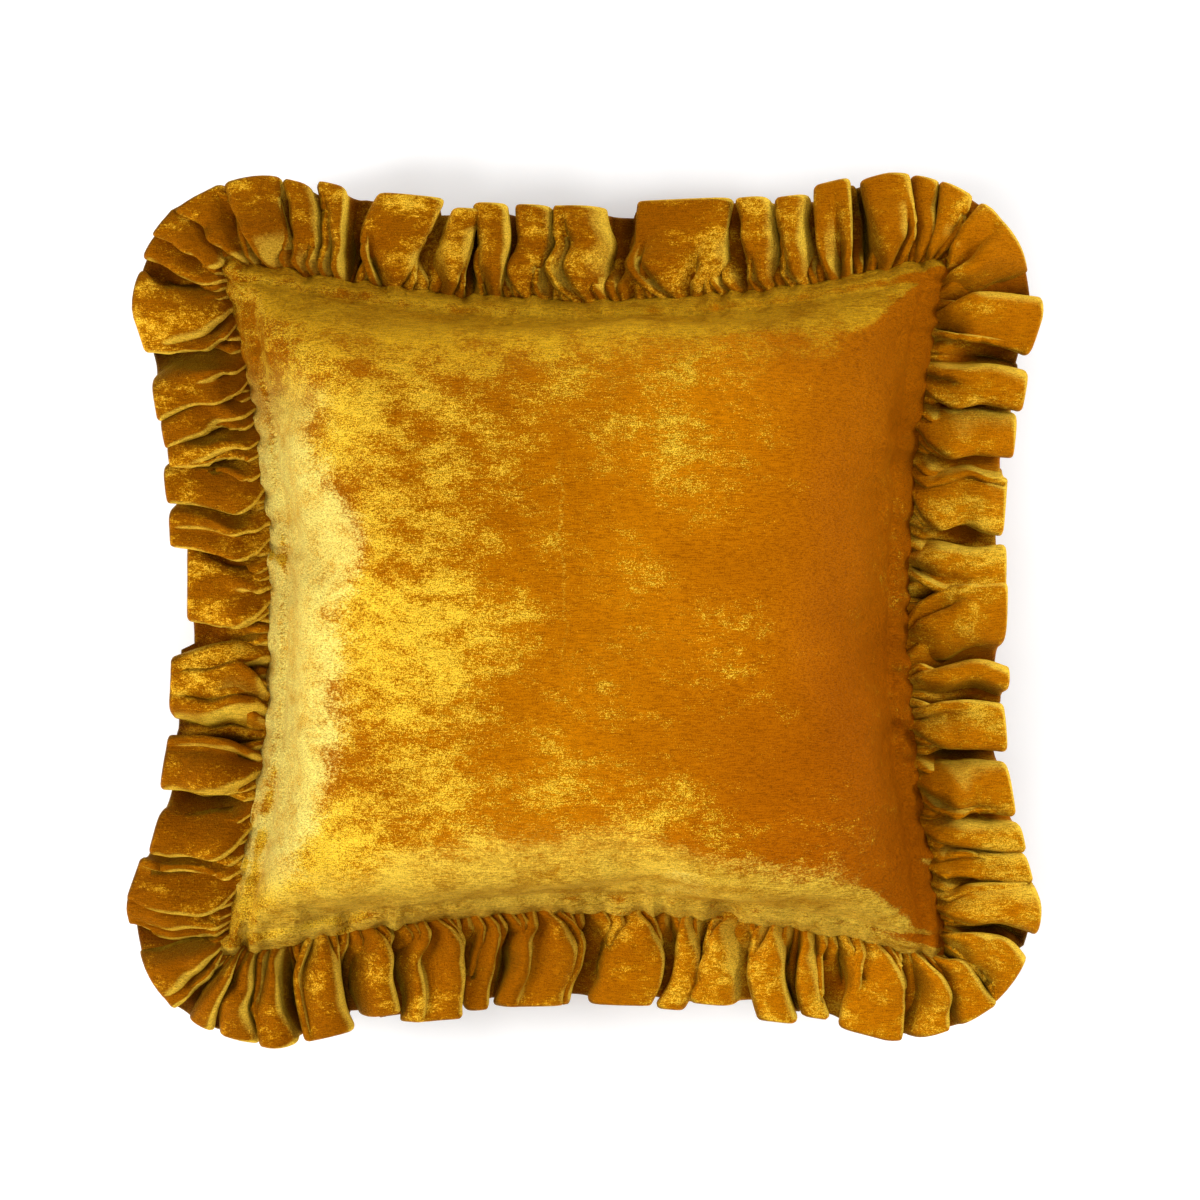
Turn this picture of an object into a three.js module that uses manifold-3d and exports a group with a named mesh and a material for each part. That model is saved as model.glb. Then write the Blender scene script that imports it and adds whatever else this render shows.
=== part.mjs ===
// A square velvet throw pillow with a gathered ruffle sewn into its seam.
// It lies on its back, face up, on z = 0. Millimetres, +X right, +Y up the face, +Z out of the face.
// The cover is one front panel and two back panels that meet at a zipper, and it holds a soft insert.
import * as THREE from 'three';
import { mergeVertices } from 'three/addons/utils/BufferGeometryUtils.js';
import Module from 'manifold-3d';

const wasm = await Module();
wasm.setup();

// Seam outline, corner to corner, and how far each side's middle is pulled in by the stuffing.
const HALF_X = 215;
const HALF_Y = 207.5;
const PULL_LEFT = 31;
const PULL_RIGHT = 24;
const PULL_TOP = 26;
const PULL_BOTTOM = 29;

// Heights: the seam plane, the top of the crown, and how far the back would bulge with no floor.
const SEAM_Z = 60;
const CROWN_Z = 150;
const BACK_BULGE = 76;

// Cloth thicknesses and the clearances between layers.
const PANEL_THICK = 2;
const TOUCH_GAP = 0.3;
const TICKING_THICK = 0.8;
const INSERT_INSET = 13;

// Ruffle: a doubled strip gathered into the seam.
const RUFFLE_HALF_THICK = 2;
const RUFFLE_HEADING = 8;
const RUFFLE_WIDTH = 52.5;
const RUFFLE_SHOULDER_X = 15;
const RUFFLE_SHOULDER_Y = 8;
const RUFFLE_CORNER_WIDTH = 42;
const RUFFLE_WAVE = 11;
const RUFFLE_SAG = 3;
const FOLDS_PER_SIDE = 13;
const FOLD_SPACING_SWING = 0.03;
const FOLD_HEIGHT_SWING = 0.2;
const COLUMNS_PER_FOLD = 5;
const CORNER_FAN_START = 0.84;

// Zipper, in a slot across the flat underside, below the middle.
const ZIP_Y = -45;
const SLOT_HALF = 5.5;
const SEWN_GAP = 0.15;
const HEM_WIDTH = 12;
const HEM_STEP = 3;
const HEM_TOP = 5;
const ZIP_ROOM_TOP = 7.8;
const ZIP_ROOM_HALF = SLOT_HALF + HEM_WIDTH + HEM_STEP + 1.5;
const CHAIN_HALF_LENGTH = 116;
const TAPE_HALF_LENGTH = 127;
const CHAIN_INNER = 0.5;
const CHAIN_WIDTH = 2.5;
const CHAIN_BOTTOM = 3.4;
const CHAIN_TOP = HEM_TOP;
const TOOTH_PITCH = 6;
const TOOTH_DEPTH = 0.8;
const TAPE_WIDTH = 13.5;
const TAPE_THICK = 0.6;
const STOP_LENGTH = 3;
const STOP_BOTTOM = 3;

// Zipper slider: two plates on a web, and an arch under the outer plate for the pull.
const SLIDER_X = 110;
const PLATE_THICK = 1;
const OUTER_PLATE_Z = 2.1;
const INNER_PLATE_Z = 6.2;
const PLATE_TAIL_X = 2.2;
const PLATE_TAIL_RADIUS = 4.2;
const PLATE_NOSE_X = -2.4;
const PLATE_NOSE_RADIUS = 3;
const WEB_START_X = 1;
const WEB_END_X = 5;
const WEB_HALF_THICK = 0.25;
const WELD = 0.2;
const ARCH_HALF_LENGTH = 3.3;
const ARCH_HALF_WIDTH = 1;
const ARCH_FOOT = 0.8;
const ARCH_BOTTOM = 0.4;
const ARCH_BAR_THICK = 0.5;

// Pull: a crossbar in the arch, two arms, and a rounded tab with a finger hole.
const PULL_AXIS_Z = 1.5;
const CROSSBAR_RADIUS = 0.45;
const CROSSBAR_LENGTH = 4;
const ARM_INNER_Y = 1.3;
const ARM_OUTER_Y = 2.2;
const ARM_START_X = 0.2;
const ARM_END_X = -5;
const ARM_HALF_THICK = 0.35;
const TAB_START_X = -4.3;
const TAB_ROOT_HALF = 2.5;
const TAB_END_X = -16;
const TAB_HALF = 3;
const TAB_THICK = 0.8;
const HOLE_X = -14.5;
const HOLE_HALF_LENGTH = 2.6;
const HOLE_HALF_WIDTH = 1.4;

// Blank care label under the ruffle, low on the left side.
const LABEL_WIDTH = 35;
const LABEL_LENGTH = 30;
const LABEL_THICK = 0.8;
const LABEL_V = -0.58;
const LABEL_STAND_OFF = 1;
const LABEL_DROP = 2;
const LABEL_DROOP = THREE.MathUtils.degToRad(50);

// Grid: columns run left to right, rows run up from the bottom seam, both closer near the seam.
const HALF_COLUMNS = 7;
const SLOT_COLUMNS = 4;
const FAR_ROWS_LOWER = 4;
const FAR_ROWS_UPPER = 6;

const VELVET = { color: 0xbc6f06, roughness: 0.85, metalness: 0 };
const RUFFLE_VELVET = { color: 0xa36715, roughness: 0.85, metalness: 0 };
const TICKING = { color: 0xf1eee6, roughness: 0.9, metalness: 0 };
const FIBRE = { color: 0xfafafa, roughness: 0.95, metalness: 0 };
const TAPE_CLOTH = { color: 0x9a6a1c, roughness: 0.9, metalness: 0 };
const COIL_PLASTIC = { color: 0x8a5a14, roughness: 0.5, metalness: 0 };
const BRASS = { color: 0xb9924a, roughness: 0.3, metalness: 0.9 };
const SATIN_LABEL = { color: 0xf4f2ec, roughness: 0.7, metalness: 0 };

const pillow = new THREE.Group();

function addPart(name, geometry, finish, parent = pillow) {
  const mesh = new THREE.Mesh(geometry, new THREE.MeshStandardMaterial(finish));
  mesh.name = name;
  parent.add(mesh);
  return mesh;
}

// ---- The stuffed square: u and v run from -1 to 1 across and up the face ----

const pullAt = (t, low, high) => (low * (1 - t) + high * (1 + t)) / 2;

function planX(u, v, inset) {
  return u * (HALF_X - inset - pullAt(u, PULL_LEFT, PULL_RIGHT) * (1 - v * v));
}

function planY(u, v, inset) {
  return v * (HALF_Y - inset - pullAt(v, PULL_BOTTOM, PULL_TOP) * (1 - u * u));
}

// The row at which a column crosses a given y, found by halving.
function rowAtY(u, y, inset) {
  let low = -1;
  let high = 1;
  for (let step = 0; step < 40; step += 1) {
    const middle = (low + high) / 2;
    if (planY(u, middle, inset) < y) low = middle;
    else high = middle;
  }
  return (low + high) / 2;
}

const frontShape = (u, v) => Math.sqrt((1 - Math.abs(u) ** 2.2) * (1 - Math.abs(v) ** 2.2));
const backShape = (u, v) => Math.sqrt((1 - Math.abs(u) ** 3) * (1 - Math.abs(v) ** 3));

const columns = [];
for (let k = -HALF_COLUMNS; k <= HALF_COLUMNS; k += 1) {
  columns.push(Math.sin((k / HALF_COLUMNS) * (Math.PI / 2)));
}

// The slot is open over the middle columns and sewn shut beyond them.
function slotGap(u) {
  const lastOpen = columns[HALF_COLUMNS + SLOT_COLUMNS];
  return Math.abs(u) <= lastOpen + 1e-6 ? SLOT_HALF : SEWN_GAP;
}

// Rows of one column from the zipper line out to a seam; side is +1 for the top seam, -1 for the bottom.
// The first two rows lie over the zipper's hem and the third is clear of it.
function rowsToSeam(u, inset, side, gap, hemWidth, farRows) {
  const rows = [gap, gap + hemWidth, gap + hemWidth + HEM_STEP].map((away, index) => {
    return { v: rowAtY(u, ZIP_Y + side * away, inset), overHem: index < 2 };
  });
  const start = rows[2].v;
  for (let k = 1; k <= farRows; k += 1) {
    const share = Math.sin((k / farRows) * (Math.PI / 2));
    rows.push({ v: start + (side - start) * share, overHem: false });
  }
  return rows;
}

function lowerRows(u, inset, gap, hemWidth) {
  return rowsToSeam(u, inset, -1, gap, hemWidth, FAR_ROWS_LOWER).reverse();
}

function upperRows(u, inset, gap, hemWidth) {
  return rowsToSeam(u, inset, 1, gap, hemWidth, FAR_ROWS_UPPER);
}

// A whole column, bottom seam to top seam, with the zipper line as one of its rows.
function fullRows(u, inset) {
  return [...lowerRows(u, inset, 0, ZIP_ROOM_HALF), ...upperRows(u, inset, 0, ZIP_ROOM_HALF).slice(1)];
}

const frontSurface = ({ inset, edge, crown }) => (u, row) => new THREE.Vector3(
  planX(u, row.v, inset),
  planY(u, row.v, inset),
  SEAM_Z + edge + (crown - SEAM_Z - edge) * frontShape(u, row.v),
);

function backSurface({ inset, edge, bulge, floor, hemFloor }) {
  return (u, row) => {
    const free = SEAM_Z - edge - bulge * backShape(u, row.v);
    return new THREE.Vector3(
      planX(u, row.v, inset),
      planY(u, row.v, inset),
      Math.max(free, row.overHem ? hemFloor : floor),
    );
  };
}

function sampleLayer(surface, rowsOf, inset) {
  return columns.map((u) => rowsOf(u, inset).map((row) => surface(u, row)));
}

// A closed solid between two grids of points, top above bottom, walled in all round their edge.
// Each cell is cut in two along the diagonal that points at its own corner of the grid.
function closedShell(top, bottom) {
  const countI = top.length;
  const countJ = top[0].length;
  const lastI = countI - 1;
  const lastJ = countJ - 1;
  const points = [...top.flat(), ...bottom.flat()];
  const upper = (i, j) => i * countJ + j;
  const lower = (i, j) => countI * countJ + i * countJ + j;
  const faces = [];
  const quad = (a, b, c, d) => faces.push(a, b, c, a, c, d);
  for (let i = 0; i < lastI; i += 1) {
    for (let j = 0; j < lastJ; j += 1) {
      if (i < lastI / 2 === j < lastJ / 2) {
        quad(upper(i, j), upper(i + 1, j), upper(i + 1, j + 1), upper(i, j + 1));
        quad(lower(i, j), lower(i, j + 1), lower(i + 1, j + 1), lower(i + 1, j));
      } else {
        quad(upper(i + 1, j), upper(i + 1, j + 1), upper(i, j + 1), upper(i, j));
        quad(lower(i, j + 1), lower(i + 1, j + 1), lower(i + 1, j), lower(i, j));
      }
    }
  }
  for (let i = 0; i < lastI; i += 1) {
    quad(upper(i, 0), lower(i, 0), lower(i + 1, 0), upper(i + 1, 0));
    quad(upper(i + 1, lastJ), lower(i + 1, lastJ), lower(i, lastJ), upper(i, lastJ));
  }
  for (let j = 0; j < lastJ; j += 1) {
    quad(upper(0, j + 1), lower(0, j + 1), lower(0, j), upper(0, j));
    quad(upper(lastI, j), lower(lastI, j), lower(lastI, j + 1), upper(lastI, j + 1));
  }
  const geometry = new THREE.BufferGeometry().setFromPoints(points);
  geometry.setIndex(faces);
  geometry.computeVertexNormals();
  return geometry;
}

// ---- Cover panels ----

const COVER_EDGE = RUFFLE_HALF_THICK + TOUCH_GAP;

const coverOuter = {
  inset: 0, edge: COVER_EDGE, crown: CROWN_Z, bulge: BACK_BULGE, floor: 0, hemFloor: 0,
};
const coverInner = {
  inset: PANEL_THICK,
  edge: COVER_EDGE,
  crown: CROWN_Z - PANEL_THICK,
  bulge: BACK_BULGE - PANEL_THICK,
  floor: PANEL_THICK,
  hemFloor: HEM_TOP,
};

function frontPanel() {
  const outer = sampleLayer(frontSurface(coverOuter), fullRows, coverOuter.inset);
  const inner = sampleLayer(frontSurface(coverInner), fullRows, coverInner.inset);
  return closedShell(outer, inner);
}

function backPanel(rowsOf) {
  const withSlot = (u, inset) => rowsOf(u, inset, slotGap(u), HEM_WIDTH);
  const outer = sampleLayer(backSurface(coverOuter), withSlot, coverOuter.inset);
  const inner = sampleLayer(backSurface(coverInner), withSlot, coverInner.inset);
  return closedShell(inner, outer);
}

addPart('front_panel', frontPanel(), VELVET);
addPart('back_panel_upper', backPanel(upperRows), VELVET);
addPart('back_panel_lower', backPanel(lowerRows), VELVET);

// ---- Insert: a sewn ticking case, front and back, round a fibre filling ----

function insertLayer(depth) {
  return {
    inset: INSERT_INSET + depth,
    edge: TOUCH_GAP / 2,
    crown: CROWN_Z - PANEL_THICK - TOUCH_GAP - depth,
    bulge: BACK_BULGE - 2 * PANEL_THICK - depth,
    floor: PANEL_THICK + TOUCH_GAP + depth,
    hemFloor: ZIP_ROOM_TOP + depth,
  };
}

const caseOuter = insertLayer(0);
const caseInner = insertLayer(TICKING_THICK);
const FILLING_DEPTH = 2;
const filling = { ...insertLayer(FILLING_DEPTH), edge: TOUCH_GAP };

const sampleFront = (layer) => sampleLayer(frontSurface(layer), fullRows, layer.inset);
const sampleBack = (layer) => sampleLayer(backSurface(layer), fullRows, layer.inset);

addPart('insert_cover_front', closedShell(sampleFront(caseOuter), sampleFront(caseInner)), TICKING);
addPart('insert_cover_back', closedShell(sampleBack(caseInner), sampleBack(caseOuter)), TICKING);
addPart('insert_filling', closedShell(sampleFront(filling), sampleBack(filling)), FIBRE);

// ---- Ruffle: one strip for each side, meeting on the corner diagonals ----

// Each side gives its seam point for t from -1 to 1 anticlockwise, the way it faces, how much
// wider its ruffle is towards the corners than at the middle, and where its folds start.
const sides = {
  right: {
    seam: (t) => [planX(1, t, 0), planY(1, t, 0)],
    facing: 0,
    shoulder: RUFFLE_SHOULDER_X,
    phase: 0.4,
  },
  top: {
    seam: (t) => [planX(-t, 1, 0), planY(-t, 1, 0)],
    facing: Math.PI / 2,
    shoulder: RUFFLE_SHOULDER_Y,
    phase: 1.7,
  },
  left: {
    seam: (t) => [planX(-1, -t, 0), planY(-1, -t, 0)],
    facing: Math.PI,
    shoulder: RUFFLE_SHOULDER_X,
    phase: 2.9,
  },
  bottom: {
    seam: (t) => [planX(t, -1, 0), planY(t, -1, 0)],
    facing: -Math.PI / 2,
    shoulder: RUFFLE_SHOULDER_Y,
    phase: 4.1,
  },
};

// 0 along the side, rising smoothly to 1 at the corner.
function cornerShare(t) {
  return THREE.MathUtils.smoothstep(Math.abs(t), CORNER_FAN_START, 1);
}

function foldHeight(t, phase) {
  const turns = FOLDS_PER_SIDE * Math.PI * (t + FOLD_SPACING_SWING * Math.sin(5 * t + phase));
  const uneven = 1 + FOLD_HEIGHT_SWING * Math.sin(9 * t + 2 * phase);
  return RUFFLE_WAVE * uneven * Math.sin(turns + phase);
}

// A point of the strip, reach mm out from the seam, as a plan position and a height off the seam.
function rufflePoint(side, t, share, lift) {
  const [seamX, seamY] = side.seam(t);
  const corner = cornerShare(t);
  const angle = side.facing + Math.sign(t) * corner * (Math.PI / 4);
  const width = THREE.MathUtils.lerp(RUFFLE_WIDTH + side.shoulder * t ** 4, RUFFLE_CORNER_WIDTH, corner);
  const reach = share < 0 ? -RUFFLE_HEADING : share * width;
  const out = Math.max(share, 0);
  const endGap = Math.abs(t) === 1 ? Math.sign(t) * TOUCH_GAP : 0;
  const height = out * foldHeight(t, side.phase) - RUFFLE_SAG * out * out;
  return new THREE.Vector3(
    seamX + reach * Math.cos(angle) + endGap * Math.sin(angle),
    seamY + reach * Math.sin(angle) - endGap * Math.cos(angle),
    SEAM_Z + height + lift,
  );
}

function ruffleStrip(side) {
  const shares = [-1, 0, 0.5, 1];
  const steps = FOLDS_PER_SIDE * COLUMNS_PER_FOLD;
  const stations = Array.from({ length: steps + 1 }, (_, k) => (2 * k) / steps - 1);
  const sheet = (lift) => shares.map((share) => stations.map((t) => rufflePoint(side, t, share, lift)));
  return closedShell(sheet(RUFFLE_HALF_THICK), sheet(-RUFFLE_HALF_THICK));
}

for (const [name, side] of Object.entries(sides)) {
  addPart(`ruffle_${name}`, ruffleStrip(side), RUFFLE_VELVET);
}

// ---- Zipper: two tapes with their chains, three stops, and a slider with a flip pull ----

const zipper = new THREE.Group();
zipper.position.y = ZIP_Y;
pillow.add(zipper);

function box(x0, x1, y0, y1, z0, z1) {
  const geometry = new THREE.BoxGeometry(x1 - x0, y1 - y0, z1 - z0);
  geometry.translate((x0 + x1) / 2, (y0 + y1) / 2, (z0 + z1) / 2);
  return geometry;
}

function toSolid(geometry) {
  const bare = geometry.clone();
  bare.deleteAttribute('normal');
  bare.deleteAttribute('uv');
  const merged = mergeVertices(bare, 1e-4);
  return new wasm.Manifold(new wasm.Mesh({
    numProp: 3,
    vertProperties: Float32Array.from(merged.attributes.position.array),
    triVerts: Uint32Array.from(merged.index.array),
  }));
}

function joined(geometries) {
  const mesh = wasm.Manifold.union(geometries.map(toSolid)).getMesh();
  const geometry = new THREE.BufferGeometry();
  geometry.setAttribute('position', new THREE.BufferAttribute(new Float32Array(mesh.vertProperties), 3));
  geometry.setIndex(new THREE.BufferAttribute(new Uint32Array(mesh.triVerts), 1));
  geometry.computeVertexNormals();
  return geometry;
}

// A comb: a straight back along the tape and square teeth towards the middle of the zipper.
function chain(side) {
  const outline = new THREE.Shape();
  const backY = side * (CHAIN_INNER + CHAIN_WIDTH);
  const tipY = side * CHAIN_INNER;
  const rootY = side * (CHAIN_INNER + TOOTH_DEPTH);
  const shift = side > 0 ? 0 : TOOTH_PITCH / 2;
  outline.moveTo(-CHAIN_HALF_LENGTH, backY);
  outline.lineTo(-CHAIN_HALF_LENGTH, rootY);
  for (let x = -CHAIN_HALF_LENGTH + 1 + shift; x + TOOTH_PITCH < CHAIN_HALF_LENGTH; x += TOOTH_PITCH) {
    outline.lineTo(x, rootY);
    outline.lineTo(x + TOOTH_PITCH / 4, tipY);
    outline.lineTo(x + TOOTH_PITCH / 2, tipY);
    outline.lineTo(x + (TOOTH_PITCH * 3) / 4, rootY);
  }
  outline.lineTo(CHAIN_HALF_LENGTH, rootY);
  outline.lineTo(CHAIN_HALF_LENGTH, backY);
  const solid = new THREE.ExtrudeGeometry(outline, { depth: CHAIN_TOP - CHAIN_BOTTOM, bevelEnabled: false });
  solid.translate(0, 0, CHAIN_BOTTOM);
  return solid;
}

function tape(side) {
  const near = side * CHAIN_INNER;
  const far = side * (CHAIN_INNER + TAPE_WIDTH);
  const bottom = HEM_TOP + TOUCH_GAP;
  return box(
    -TAPE_HALF_LENGTH, TAPE_HALF_LENGTH,
    Math.min(near, far), Math.max(near, far),
    bottom, bottom + TAPE_THICK,
  );
}

for (const [name, side] of [['upper', 1], ['lower', -1]]) {
  addPart(`zipper_tape_${name}`, tape(side), TAPE_CLOTH, zipper);
  addPart(`zipper_chain_${name}`, chain(side), COIL_PLASTIC, zipper);
}

function topStop(side) {
  const start = CHAIN_HALF_LENGTH + TOUCH_GAP;
  const near = side * CHAIN_INNER;
  const far = side * (CHAIN_INNER + CHAIN_WIDTH);
  const low = Math.min(near, far);
  return box(start, start + STOP_LENGTH, low, low + CHAIN_WIDTH, STOP_BOTTOM, CHAIN_TOP);
}

function bottomStop() {
  const start = -CHAIN_HALF_LENGTH - TOUCH_GAP;
  const half = CHAIN_INNER + CHAIN_WIDTH;
  return box(start - STOP_LENGTH, start, -half, half, STOP_BOTTOM, CHAIN_TOP);
}

addPart('zipper_top_stop_upper', topStop(1), BRASS, zipper);
addPart('zipper_top_stop_lower', topStop(-1), BRASS, zipper);
addPart('zipper_bottom_stop', bottomStop(), BRASS, zipper);

// A plate with a rounded nose at -X and a rounded tail at +X.
function sliderPlate(z) {
  const outline = new THREE.Shape();
  outline.absarc(PLATE_TAIL_X, 0, PLATE_TAIL_RADIUS, -Math.PI / 2, Math.PI / 2);
  outline.absarc(PLATE_NOSE_X, 0, PLATE_NOSE_RADIUS, Math.PI / 2, (3 * Math.PI) / 2);
  const plate = new THREE.ExtrudeGeometry(outline, { depth: PLATE_THICK, bevelEnabled: false, curveSegments: 8 });
  plate.translate(0, 0, z);
  return plate;
}

// The web and the arch's feet run a little way into the plates, so that they join.
function slider() {
  const webBottom = OUTER_PLATE_Z + PLATE_THICK - WELD;
  const webTop = INNER_PLATE_Z + WELD;
  const web = box(WEB_START_X, WEB_END_X, -WEB_HALF_THICK, WEB_HALF_THICK, webBottom, webTop);
  const archBox = (x0, x1, top) => box(x0, x1, -ARCH_HALF_WIDTH, ARCH_HALF_WIDTH, ARCH_BOTTOM, top);
  const footTop = OUTER_PLATE_Z + WELD;
  const footInner = ARCH_HALF_LENGTH - ARCH_FOOT;
  return joined([
    sliderPlate(OUTER_PLATE_Z),
    sliderPlate(INNER_PLATE_Z),
    web,
    archBox(footInner, ARCH_HALF_LENGTH, footTop),
    archBox(-ARCH_HALF_LENGTH, -footInner, footTop),
    archBox(-ARCH_HALF_LENGTH, ARCH_HALF_LENGTH, ARCH_BOTTOM + ARCH_BAR_THICK),
  ]);
}

function pullArm(side) {
  const [low, high] = side > 0 ? [ARM_INNER_Y, ARM_OUTER_Y] : [-ARM_OUTER_Y, -ARM_INNER_Y];
  return box(ARM_END_X, ARM_START_X, low, high, -ARM_HALF_THICK, ARM_HALF_THICK);
}

function sliderPull() {
  const crossbar = new THREE.CylinderGeometry(CROSSBAR_RADIUS, CROSSBAR_RADIUS, CROSSBAR_LENGTH, 12);
  const outline = new THREE.Shape();
  outline.moveTo(TAB_START_X, -TAB_ROOT_HALF);
  outline.lineTo(TAB_START_X, TAB_ROOT_HALF);
  outline.lineTo(TAB_END_X, TAB_HALF);
  outline.absarc(TAB_END_X, 0, TAB_HALF, Math.PI / 2, (3 * Math.PI) / 2);
  const hole = new THREE.Path();
  hole.absellipse(HOLE_X, 0, HOLE_HALF_LENGTH, HOLE_HALF_WIDTH, 0, Math.PI * 2);
  outline.holes.push(hole);
  const tab = new THREE.ExtrudeGeometry(outline, { depth: TAB_THICK, bevelEnabled: false, curveSegments: 8 });
  tab.translate(0, 0, -TAB_THICK / 2);
  return joined([crossbar, pullArm(-1), pullArm(1), tab]);
}

addPart('zipper_slider', slider(), BRASS, zipper).position.x = SLIDER_X;
addPart('zipper_pull', sliderPull(), BRASS, zipper).position.set(SLIDER_X, 0, PULL_AXIS_Z);

// ---- Care label: a blank satin tab that hangs from the seam under the ruffle ----

function careLabel() {
  const tab = box(0, LABEL_LENGTH, -LABEL_WIDTH / 2, LABEL_WIDTH / 2, -LABEL_THICK, 0);
  const label = addPart('care_label', tab, SATIN_LABEL);
  const outward = Math.PI + Math.atan2(2 * PULL_LEFT * LABEL_V, HALF_Y);
  label.rotation.set(0, LABEL_DROOP, outward, 'ZYX');
  label.position.set(
    planX(-1, LABEL_V, 0) + LABEL_STAND_OFF * Math.cos(outward),
    planY(-1, LABEL_V, 0) + LABEL_STAND_OFF * Math.sin(outward),
    SEAM_Z - RUFFLE_HALF_THICK - LABEL_DROP,
  );
}

careLabel();

export default pillow;
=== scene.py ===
# A square silk-velvet throw pillow with a gathered ruffle, lying on its back on a pale floor.
# All lengths are in metres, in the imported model's own frame: +X right, +Y up the face, +Z out of it.
import math

import bpy
import numpy as np
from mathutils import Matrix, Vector


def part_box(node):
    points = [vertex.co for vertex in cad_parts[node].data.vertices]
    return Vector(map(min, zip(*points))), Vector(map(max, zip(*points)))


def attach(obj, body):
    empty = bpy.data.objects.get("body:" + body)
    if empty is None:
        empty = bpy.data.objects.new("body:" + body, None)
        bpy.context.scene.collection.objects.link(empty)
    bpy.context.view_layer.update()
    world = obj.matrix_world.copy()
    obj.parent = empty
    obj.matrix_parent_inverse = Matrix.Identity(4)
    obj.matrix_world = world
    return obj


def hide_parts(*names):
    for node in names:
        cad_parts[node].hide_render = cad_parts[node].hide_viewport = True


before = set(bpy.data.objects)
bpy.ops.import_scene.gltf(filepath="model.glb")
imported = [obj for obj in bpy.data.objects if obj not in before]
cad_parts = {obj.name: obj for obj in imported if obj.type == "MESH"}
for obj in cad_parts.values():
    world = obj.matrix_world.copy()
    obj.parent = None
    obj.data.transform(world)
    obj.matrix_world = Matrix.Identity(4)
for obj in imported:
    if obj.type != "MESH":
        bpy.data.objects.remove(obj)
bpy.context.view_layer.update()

# ---- driving sizes

PANEL_LOW, PANEL_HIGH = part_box("front_panel")
HALF_X = (PANEL_HIGH.x - PANEL_LOW.x) / 2
HALF_Y = (PANEL_HIGH.y - PANEL_LOW.y) / 2
CROWN_Z = PANEL_HIGH.z
SEAM_HALF_GAP = 0.0023
SEAM_Z = PANEL_LOW.z - SEAM_HALF_GAP

# How far the middle of each side is drawn in from the line between its corners.
PULL_LEFT, PULL_RIGHT, PULL_TOP, PULL_BOTTOM = 0.031, 0.024, 0.026, 0.029

CORNER_ROUNDING = 0.0042
CORNER_SHARPNESS = 26

# The cover: its cut size, its simulation, and how the simulated grid is fitted to the seam.
CUT_SIZE = 0.455
CLOTH_THICK = 0.0016
BACK_BULGE = 0.076
SIM_CELLS = 64
SIM_FRAMES = 24
CLOTH_SETTINGS = {
    "quality": 6,
    "mass": 0.1,
    "air_damping": 4,
    "tension_stiffness": 15,
    "compression_stiffness": 15,
    "shear_stiffness": 7.5,
    "bending_stiffness": 0.5,
    "use_pressure": True,
    "uniform_pressure_force": 4,
}
FLAT_DOME = 0.002
FLAT_UNEVENNESS = 0.0002
IRONING_PASSES = 3
IRONED_TO, CRUMPLED_FROM = 0.74, 0.96
SEAM_FIT_REACH = 0.5
OUTLINE_FIT_FROM = 0.72
FLOOR_ROUNDING = 0.003

# Relief beside the seam: height, distance from the seam and width of the ridge and the groove.
RIDGE = 0.0014, 0.0065, 0.0033
GROOVE = -0.0016, 0.0125, 0.0028
PUCKER_HEIGHT, PUCKER_REACH = 0.0022, 0.013
PUCKERS_ALONG, PUCKERS_ACROSS = 74, 6

# Unevenness of the filling: height, and lumps across and up.
BROAD_LUMPS = 0.0016, (7, 7)
SMALL_LUMPS = 0.0007, (17, 17)
FINE_CREASES = 0.00022, (16, 60)
LUMP_FADE = 0.12
LUMP_SEED_STEP = 40

# The panels' grids: cells, and how much closer they lie near the seam.
FRONT_CELLS = 190
FRONT_SEED, BACK_SEED = 11, 60
BACK_CELLS = 170
BACK_ROWS_ABOVE, BACK_ROWS_BELOW = 110, 80
INSERT_CELLS = 64
CROWDING = 0.55

# The ruffle: its cut length on each side, and its width from the seam, wider towards the corners.
RUFFLE_HEADING = 0.007
RUFFLE_WIDTH = 0.0505
RUFFLE_SHOULDER_X = 0.013
RUFFLE_SHOULDER_Y = 0.007
SHOULDER_POWER = 4
RUFFLE_CORNER_WIDTH = 0.040
RUFFLE_FAN_START = 0.82
RUFFLE_SAG = 0.003
FAN_POWER = 1.7
SEAM_SAMPLES = 600
REACH_STEPS = 24
REACH_LIMIT = 1.15
RUFFLE_ROWS = np.concatenate([[-1.0, -0.5], np.linspace(0, 0.36, 11), np.linspace(0.41, 0.97, 13), [1.0]])
COLUMN_STEP = 0.0017
FEWEST_COLUMNS = 8

# Its folds: the run of one along the seam, its height, and how both vary.
RUFFLE_SEED = 21
FOLD_RUN = 0.027
RUN_SPREAD = 0.40
RUN_LIMITS = 0.5, 1.8
WIDE_ODDS, WIDE_SCALE = 0.14, 1.9
WIDE_FROM, WIDE_FLATNESS = 1.5, 0.7
CORNER_CROWDING, CROWDED_REACH = 0.38, 0.045
FOLD_HEIGHTS = 0.014, 0.022
HEIGHT_LIMITS = 0.7, 1.05
CLOTH_PER_HEIGHT = 2.2
FOLD_SWING = 1.78
FOLD_PLUMPNESS = 0.5
FOLD_SWELL = -0.1, 0.40
FOLD_TIP, FOLD_TIP_POWER = 0.055, 1.3
TIP_FROM = 0.1
TIP_CORNER = 0.05
TIP_REACH, TIP_REACH_SPREAD = 0.02, 0.045
LEANS = 26
LEAN_ODDS = 0.3, 0.7
LEAN_LIMITS = 0.7, 1.5
FREE_FROM, FREE_TO, LEAST_FREE = 0.015, 0.06, 0.25

# Its gathers: small sharp pleats at the seam that fade out along the folds.
GATHER_PITCHES = 0.0068, 0.0100
GATHER_FADES = 0.45, 1.45
GATHER_HEIGHT, GATHER_HEIGHT_AT_SEAM, GATHER_RISE = 0.0064, 0.0020, 0.12
GATHER_SWING, GATHER_SHARPNESS, GATHER_DROP = 2.1, 0.85, 1.25

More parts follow.
